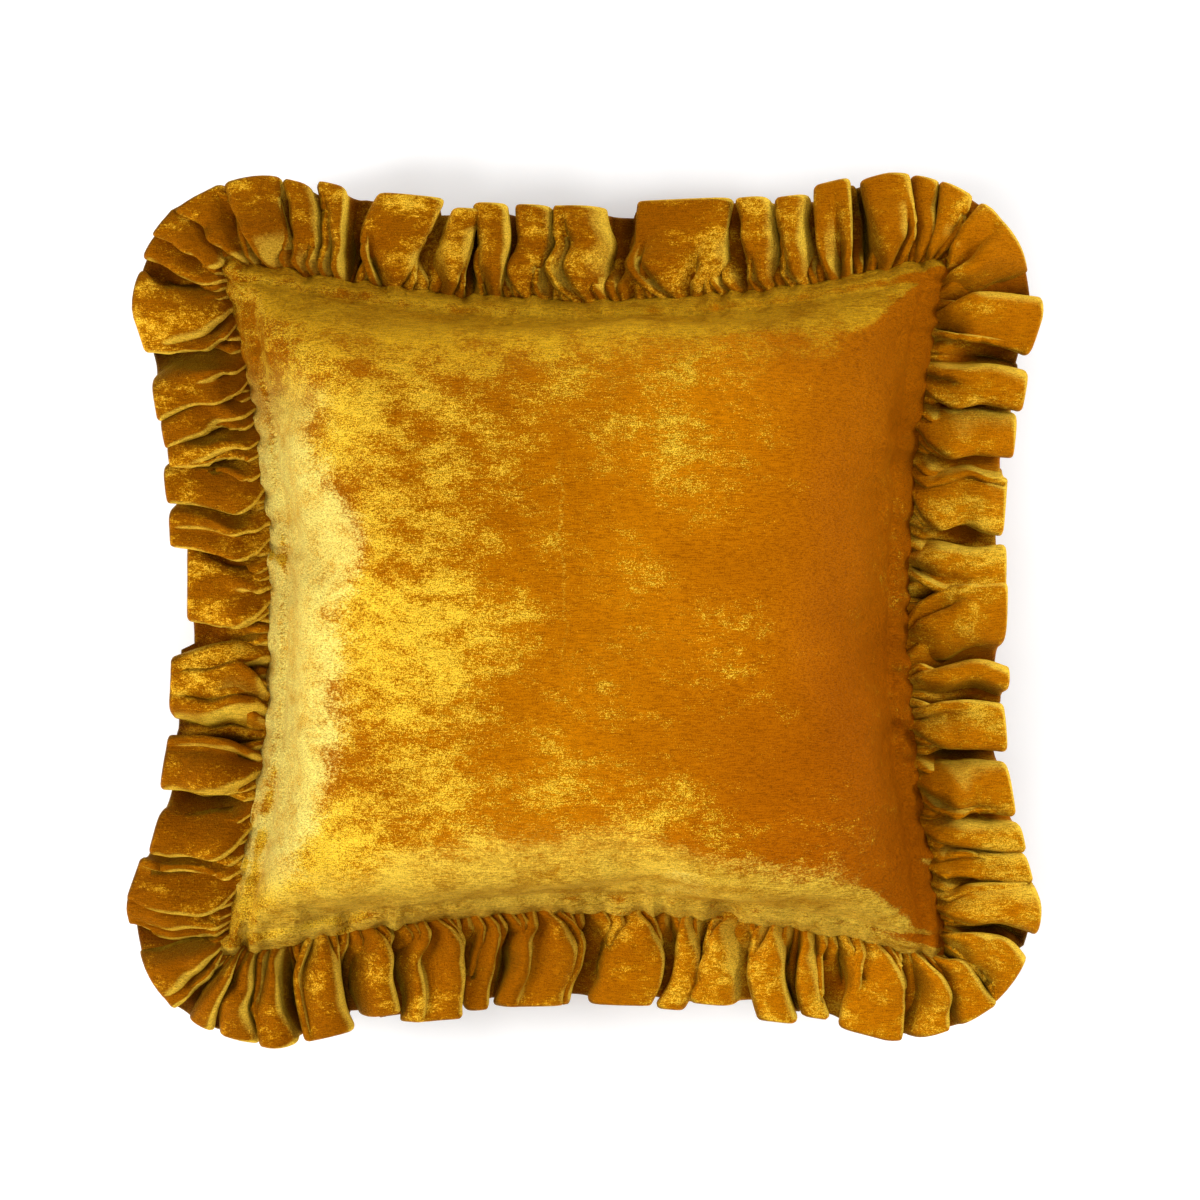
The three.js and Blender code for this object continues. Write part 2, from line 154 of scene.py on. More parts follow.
# Its loose unevenness: size, seed, and lumps along and across.
WOBBLE = 0.0016, 31, (100, 5)
DRIFT = 0.0022, 32, (70, 3)
EDGE_WANDER = 0.03, 33, (120, 3)
SLANT = 0.012, 34, (44, 1)

# Half the thickness of the doubled cloth, at shares of the width from the seam.
SKIN_SHARES = -1, 0, 0.15, 0.7, 1
SKIN_HALVES = 0.0009, 0.0012, 0.0017, 0.0021, 0.0026
NOSE_DEGREES = 30, 60, 90, 120, 150
# The fold height that changes the tone by one; the tone drives the ruffle's painted crease shade and rim
# highlight.
TONE_HEIGHT = 0.02

# The zipper's slot in the back, with a hem on each side. The slot closes past the tapes' ends.
ZIP_Y = (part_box("zipper_tape_upper")[0].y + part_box("zipper_tape_lower")[1].y) / 2
ZIP_SEARCH_ROWS = 400
SLOT_HALF = 0.0055
SLOT_PAST_TAPE = 0.003
SLOT_CLOSED = 0.0125
SLOT_LEAST_HALF = 0.0002
HEM_WIDTH = 0.0115
HEM_EDGE = 0.0015
HEM_THICK = 0.0047

# The zipper's tapes, coils and stitches.
TAPE_TAIL = 0.0135
TAPE_COLUMNS, TAPE_ROWS = 210, 12
TAPE_INSET = 0.00012
TAPE_RIPPLE, TAPE_RIPPLE_LENGTH = 0.00012, 0.021
COIL_WIRE = 0.00036
COIL_PITCH = 0.0018
COIL_STEPS = 14
TUBE_SIDES = 6
STITCH_Z = 0.0002
STITCH_FROM_SLOT = 0.006
STITCH_PITCH, STITCH_LENGTH, STITCH_RADIUS = 0.0032, 0.0024, 0.0003
STITCH_RINGS = 5
STITCH_TIP = 0.45

# The care tag.
LABEL_V = -0.58
LABEL_LENGTH = 0.034
LABEL_WIDTH = 0.030
LABEL_HALF_THICK = 0.00025
LABEL_DROOP = 50.0
LABEL_FROM_SEAM, LABEL_BELOW_NODE_TOP = 0.002, 0.001
LABEL_CURL = 0.0014

# The insert, which is smaller than the cover all round.
INSERT_SHRINK = 0.94
INSERT_CLEAR = 0.0055
INSERT_FLOOR = 0.0088
INSERT_SHARPNESS = 8
INSERT_ROUNDING = 0.003
INSERT_FLATTENING = 0.96
INSERT_HALF_SEAM = 0.0014
TICKING_THICK = 0.0006
FIBRE_CLEAR = 0.0004


def srgb(red, green, blue):
    """A linear colour from 0-255 display values."""
    values = [c / 255 for c in (red, green, blue)]
    linear = [c / 12.92 if c <= 0.04045 else ((c + 0.055) / 1.055) ** 2.4 for c in values]
    return (*linear, 1.0)


WHITE = (1, 1, 1, 1)


# ---- small numeric tools


def cubic_weights(t):
    """Catmull-Rom weights of the four neighbours of a point t of the way through its cell."""
    return np.stack([
        ((-0.5 * t + 1.0) * t - 0.5) * t,
        (1.5 * t - 2.5) * t * t + 1.0,
        ((-1.5 * t + 2.0) * t + 0.5) * t,
        (0.5 * t - 0.5) * t * t,
    ])


def sample(grid, u, v):
    """Smoothly read grid[i, j, ...] at u, v from -1 to 1, arrays of one shape."""
    grid = np.asarray(grid, float)
    padded = np.concatenate([2 * grid[:1] - grid[1:2], grid, 2 * grid[-1:] - grid[-2:-1]])
    padded = np.concatenate(
        [2 * padded[:, :1] - padded[:, 1:2], padded, 2 * padded[:, -1:] - padded[:, -2:-1]], axis=1
    )
    places = []
    for value, count in ((u, grid.shape[0]), (v, grid.shape[1])):
        at = (np.clip(value, -1, 1) + 1) / 2 * (count - 1)
        cell = np.clip(np.floor(at).astype(int), 0, count - 2)
        places.append((cell, cubic_weights(at - cell)))
    (cell_u, weights_u), (cell_v, weights_v) = places
    extra = (None,) * (grid.ndim - 2)
    total = 0.0
    for a in range(4):
        for b in range(4):
            weight = (weights_u[a] * weights_v[b])[(..., *extra)]
            total = total + weight * padded[cell_u + a, cell_v + b]
    return total


def soft_noise(seed, cells, u, v):
    """Smooth noise of about unit height with cells = (across, up) lumps, read at u, v."""
    rng = np.random.default_rng(seed)
    return sample(rng.normal(0, 0.6, (cells[0] + 1, cells[1] + 1)), u, v)


def smoothstep(value, low, high):
    t = np.clip((value - low) / (high - low), 0, 1)
    return t * t * (3 - 2 * t)


def softly_above(height, rounding):
    """height where it is above 0, else 0, with the bend between them rounded."""
    return (height + np.sqrt(height ** 2 + rounding ** 2)) / 2


def unit(vectors):
    return vectors / np.maximum(np.linalg.norm(vectors, axis=-1, keepdims=True), 1e-12)


def grid_normals(points):
    """Unit normals of a grid of points, pointing the way of d/di cross d/dj."""
    return unit(np.cross(np.gradient(points, axis=0), np.gradient(points, axis=1)))


# ---- small mesh tools


def new_mesh(name, points, faces):
    """A smooth-shaded piece in the scene, from points and the vertex numbers of its faces."""
    mesh = bpy.data.meshes.new(name)
    mesh.from_pydata(np.asarray(points).tolist(), [], [tuple(int(i) for i in f) for f in faces])
    mesh.update()
    mesh.shade_smooth()
    piece = bpy.data.objects.new(name, mesh)
    bpy.context.scene.collection.objects.link(piece)
    return piece


def grid_faces(index):
    """Faces of a grid of vertex numbers, wound so that their normals are d/di cross d/dj."""
    corners = [index[:-1, :-1], index[1:, :-1], index[1:, 1:], index[:-1, 1:]]
    return np.stack([c.ravel() for c in corners], axis=1)


def shell_faces(outer, inner):
    """Faces of a closed shell between two grids of vertex numbers; outer's normals face out."""
    faces = [grid_faces(outer), grid_faces(inner)[:, ::-1]]
    rims = [
        (outer[0, :], inner[0, :], False),
        (outer[-1, :], inner[-1, :], True),
        (outer[:, 0], inner[:, 0], True),
        (outer[:, -1], inner[:, -1], False),
    ]
    for top, bottom, flip in rims:
        rim = np.stack([top[:-1], top[1:], bottom[1:], bottom[:-1]], axis=1)
        faces.append(rim[:, ::-1] if flip else rim)
    return np.concatenate(faces)


def ring_faces(numbers):
    """Faces of a closed tube, from its vertex numbers[ring, side], with a cap on each end."""
    closed = np.concatenate([numbers, numbers[:, :1]], axis=1)
    return [*grid_faces(closed), tuple(numbers[0][::-1]), tuple(numbers[-1])]


def shell_piece(name, outer, inner):
    """A thin closed piece between two grids of points; outer's normals face out."""
    count = outer.shape[0] * outer.shape[1]
    numbers = np.arange(count).reshape(outer.shape[:2])
    points = np.concatenate([outer.reshape(-1, 3), inner.reshape(-1, 3)])
    return new_mesh(name, points, shell_faces(numbers, numbers + count))


# ---- camera, lights and floor

# The frame's width at the seam's height; its middle is up and to the right of the pillow's.
VIEW_WIDTH = 0.704
VIEW_CENTRE = (0.0097, 0.0050)
CAMERA_HEIGHT = 2.6
SENSOR = 36.0
CLIP_END = 20

# Area lights aimed at the pillow: place, size and power.
LIGHTS = {
    "key_left": ((-1.75, -0.15, 1.15), 0.5, 25),
    "rake_left": ((-1.6, -0.25, 0.50), 0.35, 15),
    "key_right": ((1.6, 0.45, 0.75), 0.5, 22),
    "rake_top": ((0.9, 1.5, 0.65), 0.5, 9),
    "rake_low": ((-0.1, -1.6, 0.65), 0.5, 9),
    "overhead": ((0.0, -0.7, 2.3), 1.5, 16),
}
WORLD_STRENGTH = 0.24
FLOOR_SIZE = 12
FLOOR_SHADE = 0.93
FLOOR_ROUGHNESS = 0.9
FLOOR_GLOW = 0.16


def aim(obj, target):
    obj.rotation_euler = (Vector(target) - obj.location).to_track_quat("-Z", "Y").to_euler()


def make_camera():
    data = bpy.data.cameras.new("camera")
    data.sensor_width = SENSOR
    data.lens = SENSOR * (CAMERA_HEIGHT - SEAM_Z) / VIEW_WIDTH
    data.clip_end = CLIP_END
    camera = bpy.data.objects.new("camera", data)
    camera.location = (*VIEW_CENTRE, CAMERA_HEIGHT)
    bpy.context.scene.collection.objects.link(camera)
    bpy.context.scene.camera = camera


def area_light(name, location, size, power):
    data = bpy.data.lights.new(name, "AREA")
    data.size = size
    data.energy = power
    light = bpy.data.objects.new(name, data)
    light.location = location
    bpy.context.scene.collection.objects.link(light)
    aim(light, (0, 0, SEAM_Z))


def make_studio():
    scene = bpy.context.scene
    scene.view_settings.view_transform = "Standard"
    for name, (location, size, power) in LIGHTS.items():
        area_light(name, location, size, power)
    world = bpy.data.worlds.new("studio")
    world.use_nodes = True
    background = world.node_tree.nodes["Background"]
    background.inputs["Color"].default_value = WHITE
    background.inputs["Strength"].default_value = WORLD_STRENGTH
    scene.world = world

    bpy.ops.mesh.primitive_plane_add(size=FLOOR_SIZE)
    floor = bpy.context.object
    floor.name = "studio_floor"
    material = bpy.data.materials.new("studio_floor")
    material.use_nodes = True
    shader = material.node_tree.nodes["Principled BSDF"]
    shader.inputs["Base Color"].default_value = (FLOOR_SHADE, FLOOR_SHADE, FLOOR_SHADE, 1)
    shader.inputs["Roughness"].default_value = FLOOR_ROUGHNESS
    shader.inputs["Emission Color"].default_value = WHITE
    shader.inputs["Emission Strength"].default_value = FLOOR_GLOW
    floor.data.materials.append(material)


# ---- seam outline


def seam_pull(t, low, high):
    """How far a side is drawn in, going from one side's pull at t = -1 to the other's at t = 1."""
    return (low * (1 - t) + high * (1 + t)) / 2


def plan(u, v):
    """Where u, v from -1 to 1 across and up the cover lie in plan, the seam being their limit."""
    x = u * (HALF_X - seam_pull(u, PULL_LEFT, PULL_RIGHT) * (1 - v * v))
    y = v * (HALF_Y - seam_pull(v, PULL_BOTTOM, PULL_TOP) * (1 - u * u))
    rounding = CORNER_ROUNDING * abs(u * v) ** CORNER_SHARPNESS
    return x - np.sign(u) * rounding, y - np.sign(v) * rounding


# ---- the stuffed cover


def flat_cover():
    """Two flat square panels sewn together round their edge: points, front and back numbering."""
    cells = SIM_CELLS
    front = np.arange((cells + 1) ** 2).reshape(cells + 1, cells + 1)
    back = front.copy()
    inside = (cells - 1) ** 2
    back[1:-1, 1:-1] = front.size + np.arange(inside).reshape(cells - 1, cells - 1)
    t = np.linspace(-1, 1, cells + 1)
    u, v = np.meshgrid(t, t, indexing="ij")
    dome = FLAT_DOME * (1 - u ** 4) * (1 - v ** 4)
    half = CUT_SIZE / 2
    points = np.zeros((front.size + inside, 3))
    points[front.ravel()] = np.stack([u * half, v * half * HALF_Y / HALF_X, dome], -1).reshape(-1, 3)
    under = np.stack([u * half, v * half * HALF_Y / HALF_X, -dome], -1)[1:-1, 1:-1]
    points[back[1:-1, 1:-1].ravel()] = under.reshape(-1, 3)
    points[:, 2] += np.random.default_rng(3).normal(0, FLAT_UNEVENNESS, len(points))
    return points, front, back


def inflate_cover():
    """Blow the sewn panels up as cloth, and return the front and back grids of points."""
    points, front, back = flat_cover()
    faces = np.concatenate([grid_faces(front), grid_faces(back)[:, ::-1]])
    cover = new_mesh("cover_cloth", points, faces)
    cloth = cover.modifiers.new("Cloth", "CLOTH")
    for key, value in CLOTH_SETTINGS.items():
        setattr(cloth.settings, key, value)
    cloth.settings.effector_weights.gravity = 0
    cloth.collision_settings.use_collision = False
    cloth.point_cache.frame_end = SIM_FRAMES
    for number in range(1, SIM_FRAMES + 1):
        bpy.context.scene.frame_set(number)
    depsgraph = bpy.context.evaluated_depsgraph_get()
    settled = np.array([p.co for p in cover.evaluated_get(depsgraph).data.vertices])
    bpy.data.objects.remove(cover)
    bpy.context.scene.frame_set(1)
    return settled[front], settled[back]


def ironed(grid):
    """The simulated grid with its cell-sized crumples smoothed away, except near the seam."""
    smooth = grid
    for _ in range(IRONING_PASSES):
        for axis in (0, 1):
            turned = np.moveaxis(smooth, axis, 0)
            middle = (turned[:-2] + 2 * turned[1:-1] + turned[2:]) / 4
            smooth = np.moveaxis(np.concatenate([turned[:1], middle, turned[-1:]]), 0, axis)
    t = np.linspace(-1, 1, grid.shape[0])
    from_middle = np.maximum(abs(t)[:, None], abs(t)[None, :])
    kept = smoothstep(from_middle, IRONED_TO, CRUMPLED_FROM)[..., None]
    return smooth * (1 - kept) + grid * kept


def fit_to_seam(grid, side):
    """Bring one simulated panel to the seam outline and height; side is +1 front, -1 back."""
    t = np.linspace(-1, 1, grid.shape[0])
    u, v = np.meshgrid(t, t, indexing="ij")
    fitted = grid - grid.reshape(-1, 3).mean(0) * np.array([1, 1, 0])
    corners = fitted[[0, 0, -1, -1], [0, -1, 0, -1]]
    fitted[..., 0] *= HALF_X / abs(corners[:, 0]).mean()
    fitted[..., 1] *= HALF_Y / abs(corners[:, 1]).mean()
    reach = CROWN_Z - SEAM_Z - SEAM_HALF_GAP if side > 0 else BACK_BULGE
    fitted[..., 2] *= reach / abs(fitted[..., 2]).max()
    fitted[..., 2] += SEAM_Z + side * SEAM_HALF_GAP

    x, y = plan(u, v)
    target = np.stack([x, y, np.full_like(x, SEAM_Z + side * SEAM_HALF_GAP)], -1)
    miss = target - fitted
    left, right, low, high = (
        np.clip(1 - (1 + t) / SEAM_FIT_REACH, 0, 1)[..., None] ** 2 for t in (u, -u, v, -v)
    )
    across = left * miss[:1] + right * miss[-1:]
    rest = miss - across
    along = low * rest[:, :1] + high * rest[:, -1:]
    fitted = fitted + across + along
    edge = smoothstep(np.maximum(abs(u), abs(v)), OUTLINE_FIT_FROM, 1.0)[..., None]
    fitted[..., :2] = fitted[..., :2] * (1 - edge) + target[..., :2] * edge
    return fitted


def raised(away, height, at, width):
    """A smooth ridge of a height, at a distance from the seam; a groove if the height is negative."""
    return height * np.exp(-(((away - at) / width) ** 2))


def seam_relief(u, v, seed):
    """Height of the small relief beside the seam: the allowance ridge, its groove, and puckers."""
    x, y = plan(u, v)
    edge_x, _ = plan(np.where(u < 0, -1.0, 1.0), v)
    _, edge_y = plan(u, np.where(v < 0, -1.0, 1.0))
    relief = np.zeros_like(u)
    sides = (
        (abs(edge_x - x), seed, (PUCKERS_ACROSS, PUCKERS_ALONG)),
        (abs(edge_y - y), seed + 1, (PUCKERS_ALONG, PUCKERS_ACROSS)),
    )
    for away, side_seed, cells in sides:
        pucker = PUCKER_HEIGHT * soft_noise(side_seed, cells, u, v) * np.exp(-away / PUCKER_REACH)
        relief += raised(away, *RIDGE) + raised(away, *GROOVE) + pucker
    return relief


def fill_lumps(u, v, seed):
    """Soft unevenness of the filling, and fine creases that run along with the cloth."""
    heights = []
    for step, (height, cells) in enumerate((BROAD_LUMPS, SMALL_LUMPS, FINE_CREASES)):
        heights.append(height * soft_noise(seed + step, cells, u, v))
    broad, small, creases = heights
    fade = smoothstep(1 - np.maximum(abs(u), abs(v)), 0.0, LUMP_FADE)
    return fade * (broad + small) + creases


def crowded(count):
    """count + 1 values from -1 to 1, closer together near both ends."""
    t = np.linspace(-1, 1, count + 1)
    return (1 - CROWDING) * t + CROWDING * np.sin(t * math.pi / 2)


def panel_piece(name, grid, u, v, side, seed, floor=None, thick=CLOTH_THICK):
    """One velvet panel as a thin closed shell; side is +1 for the front, -1 for the back.

    floor is the height that the panel rests on, if any.
    """
    outer = sample(grid, u, v)
    normals = side * grid_normals(outer)
    relief = seam_relief(u, v, seed) + fill_lumps(u, v, seed + LUMP_SEED_STEP)
    outer = outer + normals * relief[..., None]
    if floor is not None:
        outer[..., 2] = floor + softly_above(outer[..., 2] - floor, FLOOR_ROUNDING)
    normals = side * grid_normals(outer)
    inner = outer - normals * np.broadcast_to(thick, outer.shape[:2])[..., None]
    if side < 0:
        outer, inner = outer[:, ::-1], inner[:, ::-1]
    return shell_piece(name, outer, inner)


def front_panel(grid):
    t = crowded(FRONT_CELLS)
    u, v = np.meshgrid(t, t, indexing="ij")
    piece = panel_piece("cover_front", grid, u, v, 1, seed=FRONT_SEED)
    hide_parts("front_panel")
    return piece


def rows_from_zip(grid, u, side, gap):
    """v of the zipper's edge in each column of a back panel: where y passes the slot's edge."""
    t = np.linspace(-1, 1, ZIP_SEARCH_ROWS)
    uu, vv = np.meshgrid(u, t, indexing="ij")
    y = sample(grid[..., 1], uu, vv)
    return np.array([np.interp(ZIP_Y + side * g, row, t) for row, g in zip(y, gap)])


def back_panel(name, node, grid, side, seed):
    """A back panel from the zipper's slot out to the seam; side is +1 above the zipper."""
    columns = crowded(BACK_CELLS)
    slot_low, slot_high = (corner.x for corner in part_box("zipper_tape_upper"))
    x_at_zip = sample(grid[..., 0], columns, np.full_like(columns, ZIP_Y / HALF_Y))
    past = np.maximum(slot_low - x_at_zip, x_at_zip - slot_high)
    gap = SLOT_HALF * (1 - smoothstep(past, SLOT_PAST_TAPE, SLOT_CLOSED)) + SLOT_LEAST_HALF
    start = rows_from_zip(grid, columns, side, gap)
    rows = BACK_ROWS_ABOVE if side > 0 else BACK_ROWS_BELOW
    share = np.sin(np.linspace(0, 1, rows) * math.pi / 2)
    u = np.repeat(columns[:, None], len(share), axis=1)
    v = start[:, None] + (side - start[:, None]) * share
    from_slot = abs(sample(grid[..., 1], u, v) - ZIP_Y) - gap[:, None]
    hem = 1 - smoothstep(from_slot, HEM_WIDTH, HEM_WIDTH + HEM_EDGE)
    thick = CLOTH_THICK + (HEM_THICK - CLOTH_THICK) * hem
    if side < 0:
        u, v, thick = u[:, ::-1], v[:, ::-1], thick[:, ::-1]
    piece = panel_piece(name, grid, u, v, -1, seed, floor=0.0, thick=thick)
    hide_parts(node)
    return piece


# ---- the ruffle


def loop_path():
    """The seam once round, anticlockwise from the bottom right corner.

    Returns the seam points, the way each side faces, how far each point has turned to its corner,
    from -1 to 1, and the ruffle's width there.
    """
    t = np.linspace(-1, 1, SEAM_SAMPLES, endpoint=False)
    one = np.ones_like(t)
    sides = [
        (plan(one, t), 0.0, RUFFLE_SHOULDER_X),
        (plan(-t, one), math.pi / 2, RUFFLE_SHOULDER_Y),
        (plan(-one, -t), math.pi, RUFFLE_SHOULDER_X),
        (plan(t, -one), math.pi * 1.5, RUFFLE_SHOULDER_Y),
    ]
    seam, facing, turned, width = [], [], [], []
    for (x, y), angle, shoulder in sides:
        corner = smoothstep(abs(t), RUFFLE_FAN_START, 1)
        seam.append(np.stack([x, y], -1))
        facing.append(np.full_like(t, angle))
        turned.append(np.sign(t) * corner)
        side_width = RUFFLE_WIDTH + shoulder * t ** SHOULDER_POWER
        width.append(side_width * (1 - corner) + RUFFLE_CORNER_WIDTH * corner)
    return [np.concatenate(part) for part in (seam, facing, turned, width)]


class RuffleBase:
    """The ruffle's smooth ground: points read by distance along its middle and reach from the seam."""

    def __init__(self):
        seam, self.facing, self.turned, width = loop_path()
        shares = np.linspace(0, REACH_LIMIT, REACH_STEPS)
        lines = [seam]
        for share, last in zip(shares[1:], shares[:-1]):
            angle = self.heading((share + last) / 2)
            step = (share - last) * width
            lines.append(lines[-1] + np.stack([np.cos(angle), np.sin(angle)], -1) * step[:, None])
        self.lines = np.stack(lines, axis=1)
        self.lines = np.concatenate([self.lines, self.lines[:1]])
        middle = self.lines[:, REACH_STEPS // 2]
        gaps = np.linalg.norm(np.diff(middle, axis=0), axis=1)
        self.at = np.concatenate([[0], np.cumsum(gaps)])
        self.length = self.at[-1]
        self.corners = self.at[::SEAM_SAMPLES]
        inward = -np.stack([np.cos(self.heading(0)), np.sin(self.heading(0))], -1)
        self.inward = np.concatenate([inward, inward[:1]])

    def heading(self, share):
        """The way each fold line runs at a share of the width: square to the seam, then fanned."""
        power = FAN_POWER - share
        return self.facing + np.sign(self.turned) * abs(self.turned) ** power * math.pi / 4

    def place(self, along, share):
        """Plan position at a distance along and a share of the width out; negative is inside."""
        along = np.mod(along, self.length)
        at = np.interp(along, self.at, np.arange(len(self.at)))
        low = np.clip(at.astype(int), 0, len(self.at) - 2)
        part = (at - low)[..., None]
        out = np.clip(share, 0, REACH_LIMIT) / REACH_LIMIT * (REACH_STEPS - 1)
        step = np.clip(out.astype(int), 0, REACH_STEPS - 2)
        way = (out - step)[..., None]

        def line(row):
            return self.lines[row, step] * (1 - way) + self.lines[row, step + 1] * way

        point = line(low) * (1 - part) + line(low + 1) * part
        inward = self.inward[low] * (1 - part) + self.inward[low + 1] * part
        point = point + inward * (np.clip(-share, 0, 1) * RUFFLE_HEADING)[..., None]
        return point[..., 0], point[..., 1]


def fold_shape():
    """Steps u through one fold, with its forward progress and its height there, all from 0 to 1.

    The cloth swings so far over that its sides overhang, and the fold has a plump head.
    """
    u = np.linspace(0, 1, 400)
    heading = FOLD_SWING * np.sin(2 * math.pi * u)
    heading = heading[:-1] + np.diff(heading) / 2
    forward = np.concatenate([[0], np.cumsum(np.cos(heading))])
    height = np.concatenate([[0], np.cumsum(np.sin(heading))])
    forward = forward / forward[-1]
    height = height / height.max()
    swell = 1 + FOLD_PLUMPNESS * (2 * height - 1) * np.sin(math.pi * u) ** 2
    return u, 0.5 + (forward - 0.5) * swell, height


def make_folds(base, rng):
    """Each fold's run along the ruffle, its height and its gathers, as arrays that go once round."""
    run = []
    while sum(run) < base.length:
        near = abs(base.corners - sum(run)).min()
        wide = WIDE_SCALE if rng.random() < WIDE_ODDS else 1.0
        crowding = 1 - CORNER_CROWDING * math.exp(-((near / CROWDED_REACH) ** 2))
        run.append(FOLD_RUN * wide * crowding * np.clip(rng.lognormal(0, RUN_SPREAD), *RUN_LIMITS))
    run = np.array(run) * base.length / sum(run)
    count = len(run)
    height = rng.uniform(*FOLD_HEIGHTS, count) * np.clip(run / FOLD_RUN, *HEIGHT_LIMITS)
    height[run > WIDE_FROM * FOLD_RUN] *= WIDE_FLATNESS
    return {
        "run": run,
        "height": height,
        "gathers": np.maximum(2, np.round(run / rng.uniform(*GATHER_PITCHES, count))),
        "fade": rng.uniform(*GATHER_FADES, count),
        "phase": rng.uniform(0, 2 * math.pi, count),
        "reach": rng.normal(TIP_REACH, TIP_REACH_SPREAD, count),
    }


def fold_columns(folds):
    """The fold that each column of the ruffle belongs to, and how far through it, from 0 to 1."""
    fold, u = [], []
    for k, (run, height) in enumerate(zip(folds["run"], folds["height"])):
        columns = max(FEWEST_COLUMNS, round((run + CLOTH_PER_HEIGHT * height) / COLUMN_STEP))
        fold.append(np.full(columns, k))
        u.append(np.arange(columns) / columns)
    return np.concatenate(fold), np.concatenate(u)


def gather_height(folds, fold, u, share):
    """Height of the small gathers, sharpest at the seam and fading out along each fold."""
    out = np.clip(share, 0, 1)
    most = np.minimum(out / GATHER_RISE, 1) * GATHER_HEIGHT + GATHER_HEIGHT_AT_SEAM
    most = most * np.clip(1 - out / folds["fade"][fold][:, None], 0, 1)
    angle = 2 * math.pi * folds["gathers"][fold] * u + folds["phase"][fold]
    sharp = GATHER_SWING * abs(np.sin(angle / 2)) ** GATHER_SHARPNESS - GATHER_DROP
    return most * sharp[:, None] * (share >= 0)


def ruffle_sheet(base):
    """The ruffle's middle surface: points[column, row], its tone, and the column at each corner."""
    rng = np.random.default_rng(RUFFLE_SEED)
    folds = make_folds(base, rng)
    shape_u, shape_run, shape_height = fold_shape()
    fold, u = fold_columns(folds)
    begin = np.concatenate([[0], np.cumsum(folds["run"])])[fold]
    run = folds["run"][fold]
    ground = begin + run * np.interp(u, shape_u, shape_run)
    even = begin + run * u
    rise = np.interp(u, shape_u, shape_height)

    leans = rng.choice([-1, 1], LEANS, p=LEAN_ODDS) * rng.uniform(*LEAN_LIMITS, LEANS)
    lean = np.interp(even, np.linspace(0, base.length, LEANS + 1), np.append(leans, leans[0]))

    share = RUFFLE_ROWS[None, :]
    out = np.clip(share, 0, 1)
    noise_u = even[:, None] / base.length * 2 - 1 + 0 * out
    noise_v = out * 2 - 1 + 0 * noise_u

    def unevenness(size, seed, lumps):
        return size * soft_noise(seed, lumps, noise_u, noise_v)

    swell = smoothstep(out, *FOLD_SWELL)
    height = swell * (folds["height"][fold] * (rise - 0.5))[:, None]
    height = height + gather_height(folds, fold, u, share) + unevenness(*WOBBLE) * swell

    at = even[:, None] * (1 - swell) + ground[:, None] * swell
    at = at + lean[:, None] * height + (unevenness(*DRIFT) + unevenness(*SLANT) * out) * swell
    nearest = abs(even[:, None] - base.corners[None, :]).min(axis=1)
    free = (LEAST_FREE + (1 - LEAST_FREE) * smoothstep(nearest, FREE_FROM, FREE_TO))[:, None]
    tip_corner = np.minimum(2 * abs(2 * u - 1), 1)[:, None] ** 3
    uneven = folds["reach"][fold][:, None] - TIP_CORNER * tip_corner
    uneven = uneven - FOLD_TIP * (1 - rise[:, None]) ** FOLD_TIP_POWER
    reach = share * (1 + smoothstep(share, TIP_FROM, 1) * uneven * free)
    reach = reach + out * free * unevenness(*EDGE_WANDER)
    x, y = base.place(at, reach)
    z = SEAM_Z + height - RUFFLE_SAG * out ** 2
    # The tone, each point's height in its fold, becomes painted shade in the creases and painted highlight on
    # the rims.
    tone = 0.5 + height / TONE_HEIGHT
    corner_columns = [int(np.argmin(abs(even - corner))) for corner in base.corners[:4]]
    return np.stack([x, y, z], -1), tone, corner_columns


def ruffle_skin(middle):
    """Wrap the middle surface in a doubled cloth with a rounded folded edge: points[column, ring]."""
    ring = np.concatenate([middle[-1:], middle, middle[:1]])
    along = ring[2:] - ring[:-2]
    outward = np.gradient(middle, axis=1)
    normals = unit(np.cross(outward, along))
    outward = unit(outward)
    half = np.interp(RUFFLE_ROWS, SKIN_SHARES, SKIN_HALVES)
    offset = normals * half[None, :, None]
    top = middle + offset
    under = (middle - offset)[:, ::-1]
    nose = []
    for angle in np.radians(NOSE_DEGREES):
        turned = normals[:, -1] * math.cos(angle) + outward[:, -1] * math.sin(angle)
        nose.append((middle[:, -1] + half[-1] * turned)[:, None])
    return np.concatenate([top, *nose, under], axis=1)


def skin_tone(tone):
    """How high in its fold each point of the skin lies, from 0 in the creases to 1 on the crests."""
    tip = np.repeat(tone[:, -1:], len(NOSE_DEGREES), axis=1)
    return np.clip(np.concatenate([tone, tip, tone[:, ::-1]], axis=1), 0, 1)


def ruffle_pieces():
    """The ruffle, cut at the seam's corners into a strip for each side."""
    middle, tone, starts = ruffle_sheet(RuffleBase())
    skin, tone = ruffle_skin(middle), skin_tone(tone)
    columns, rings = skin.shape[:2]
    ends = [*starts[1:], columns + starts[0]]
    pieces = []
    for name, first, last in zip(("right", "top", "left", "bottom"), starts, ends):
        chosen = np.arange(first, last + 1) % columns
        numbers = np.arange(len(chosen) * rings).reshape(-1, rings)
        faces = [face[::-1] for face in ring_faces(numbers)]
        piece = new_mesh(f"ruffle_strip_{name}", skin[chosen].reshape(-1, 3), faces)
        layer = piece.data.attributes.new("tone", "FLOAT", "POINT")
        layer.data.foreach_set("value", tone[chosen].ravel())
        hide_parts(f"ruffle_{name}")
        pieces.append(piece)
    return pieces


# ---- the insert


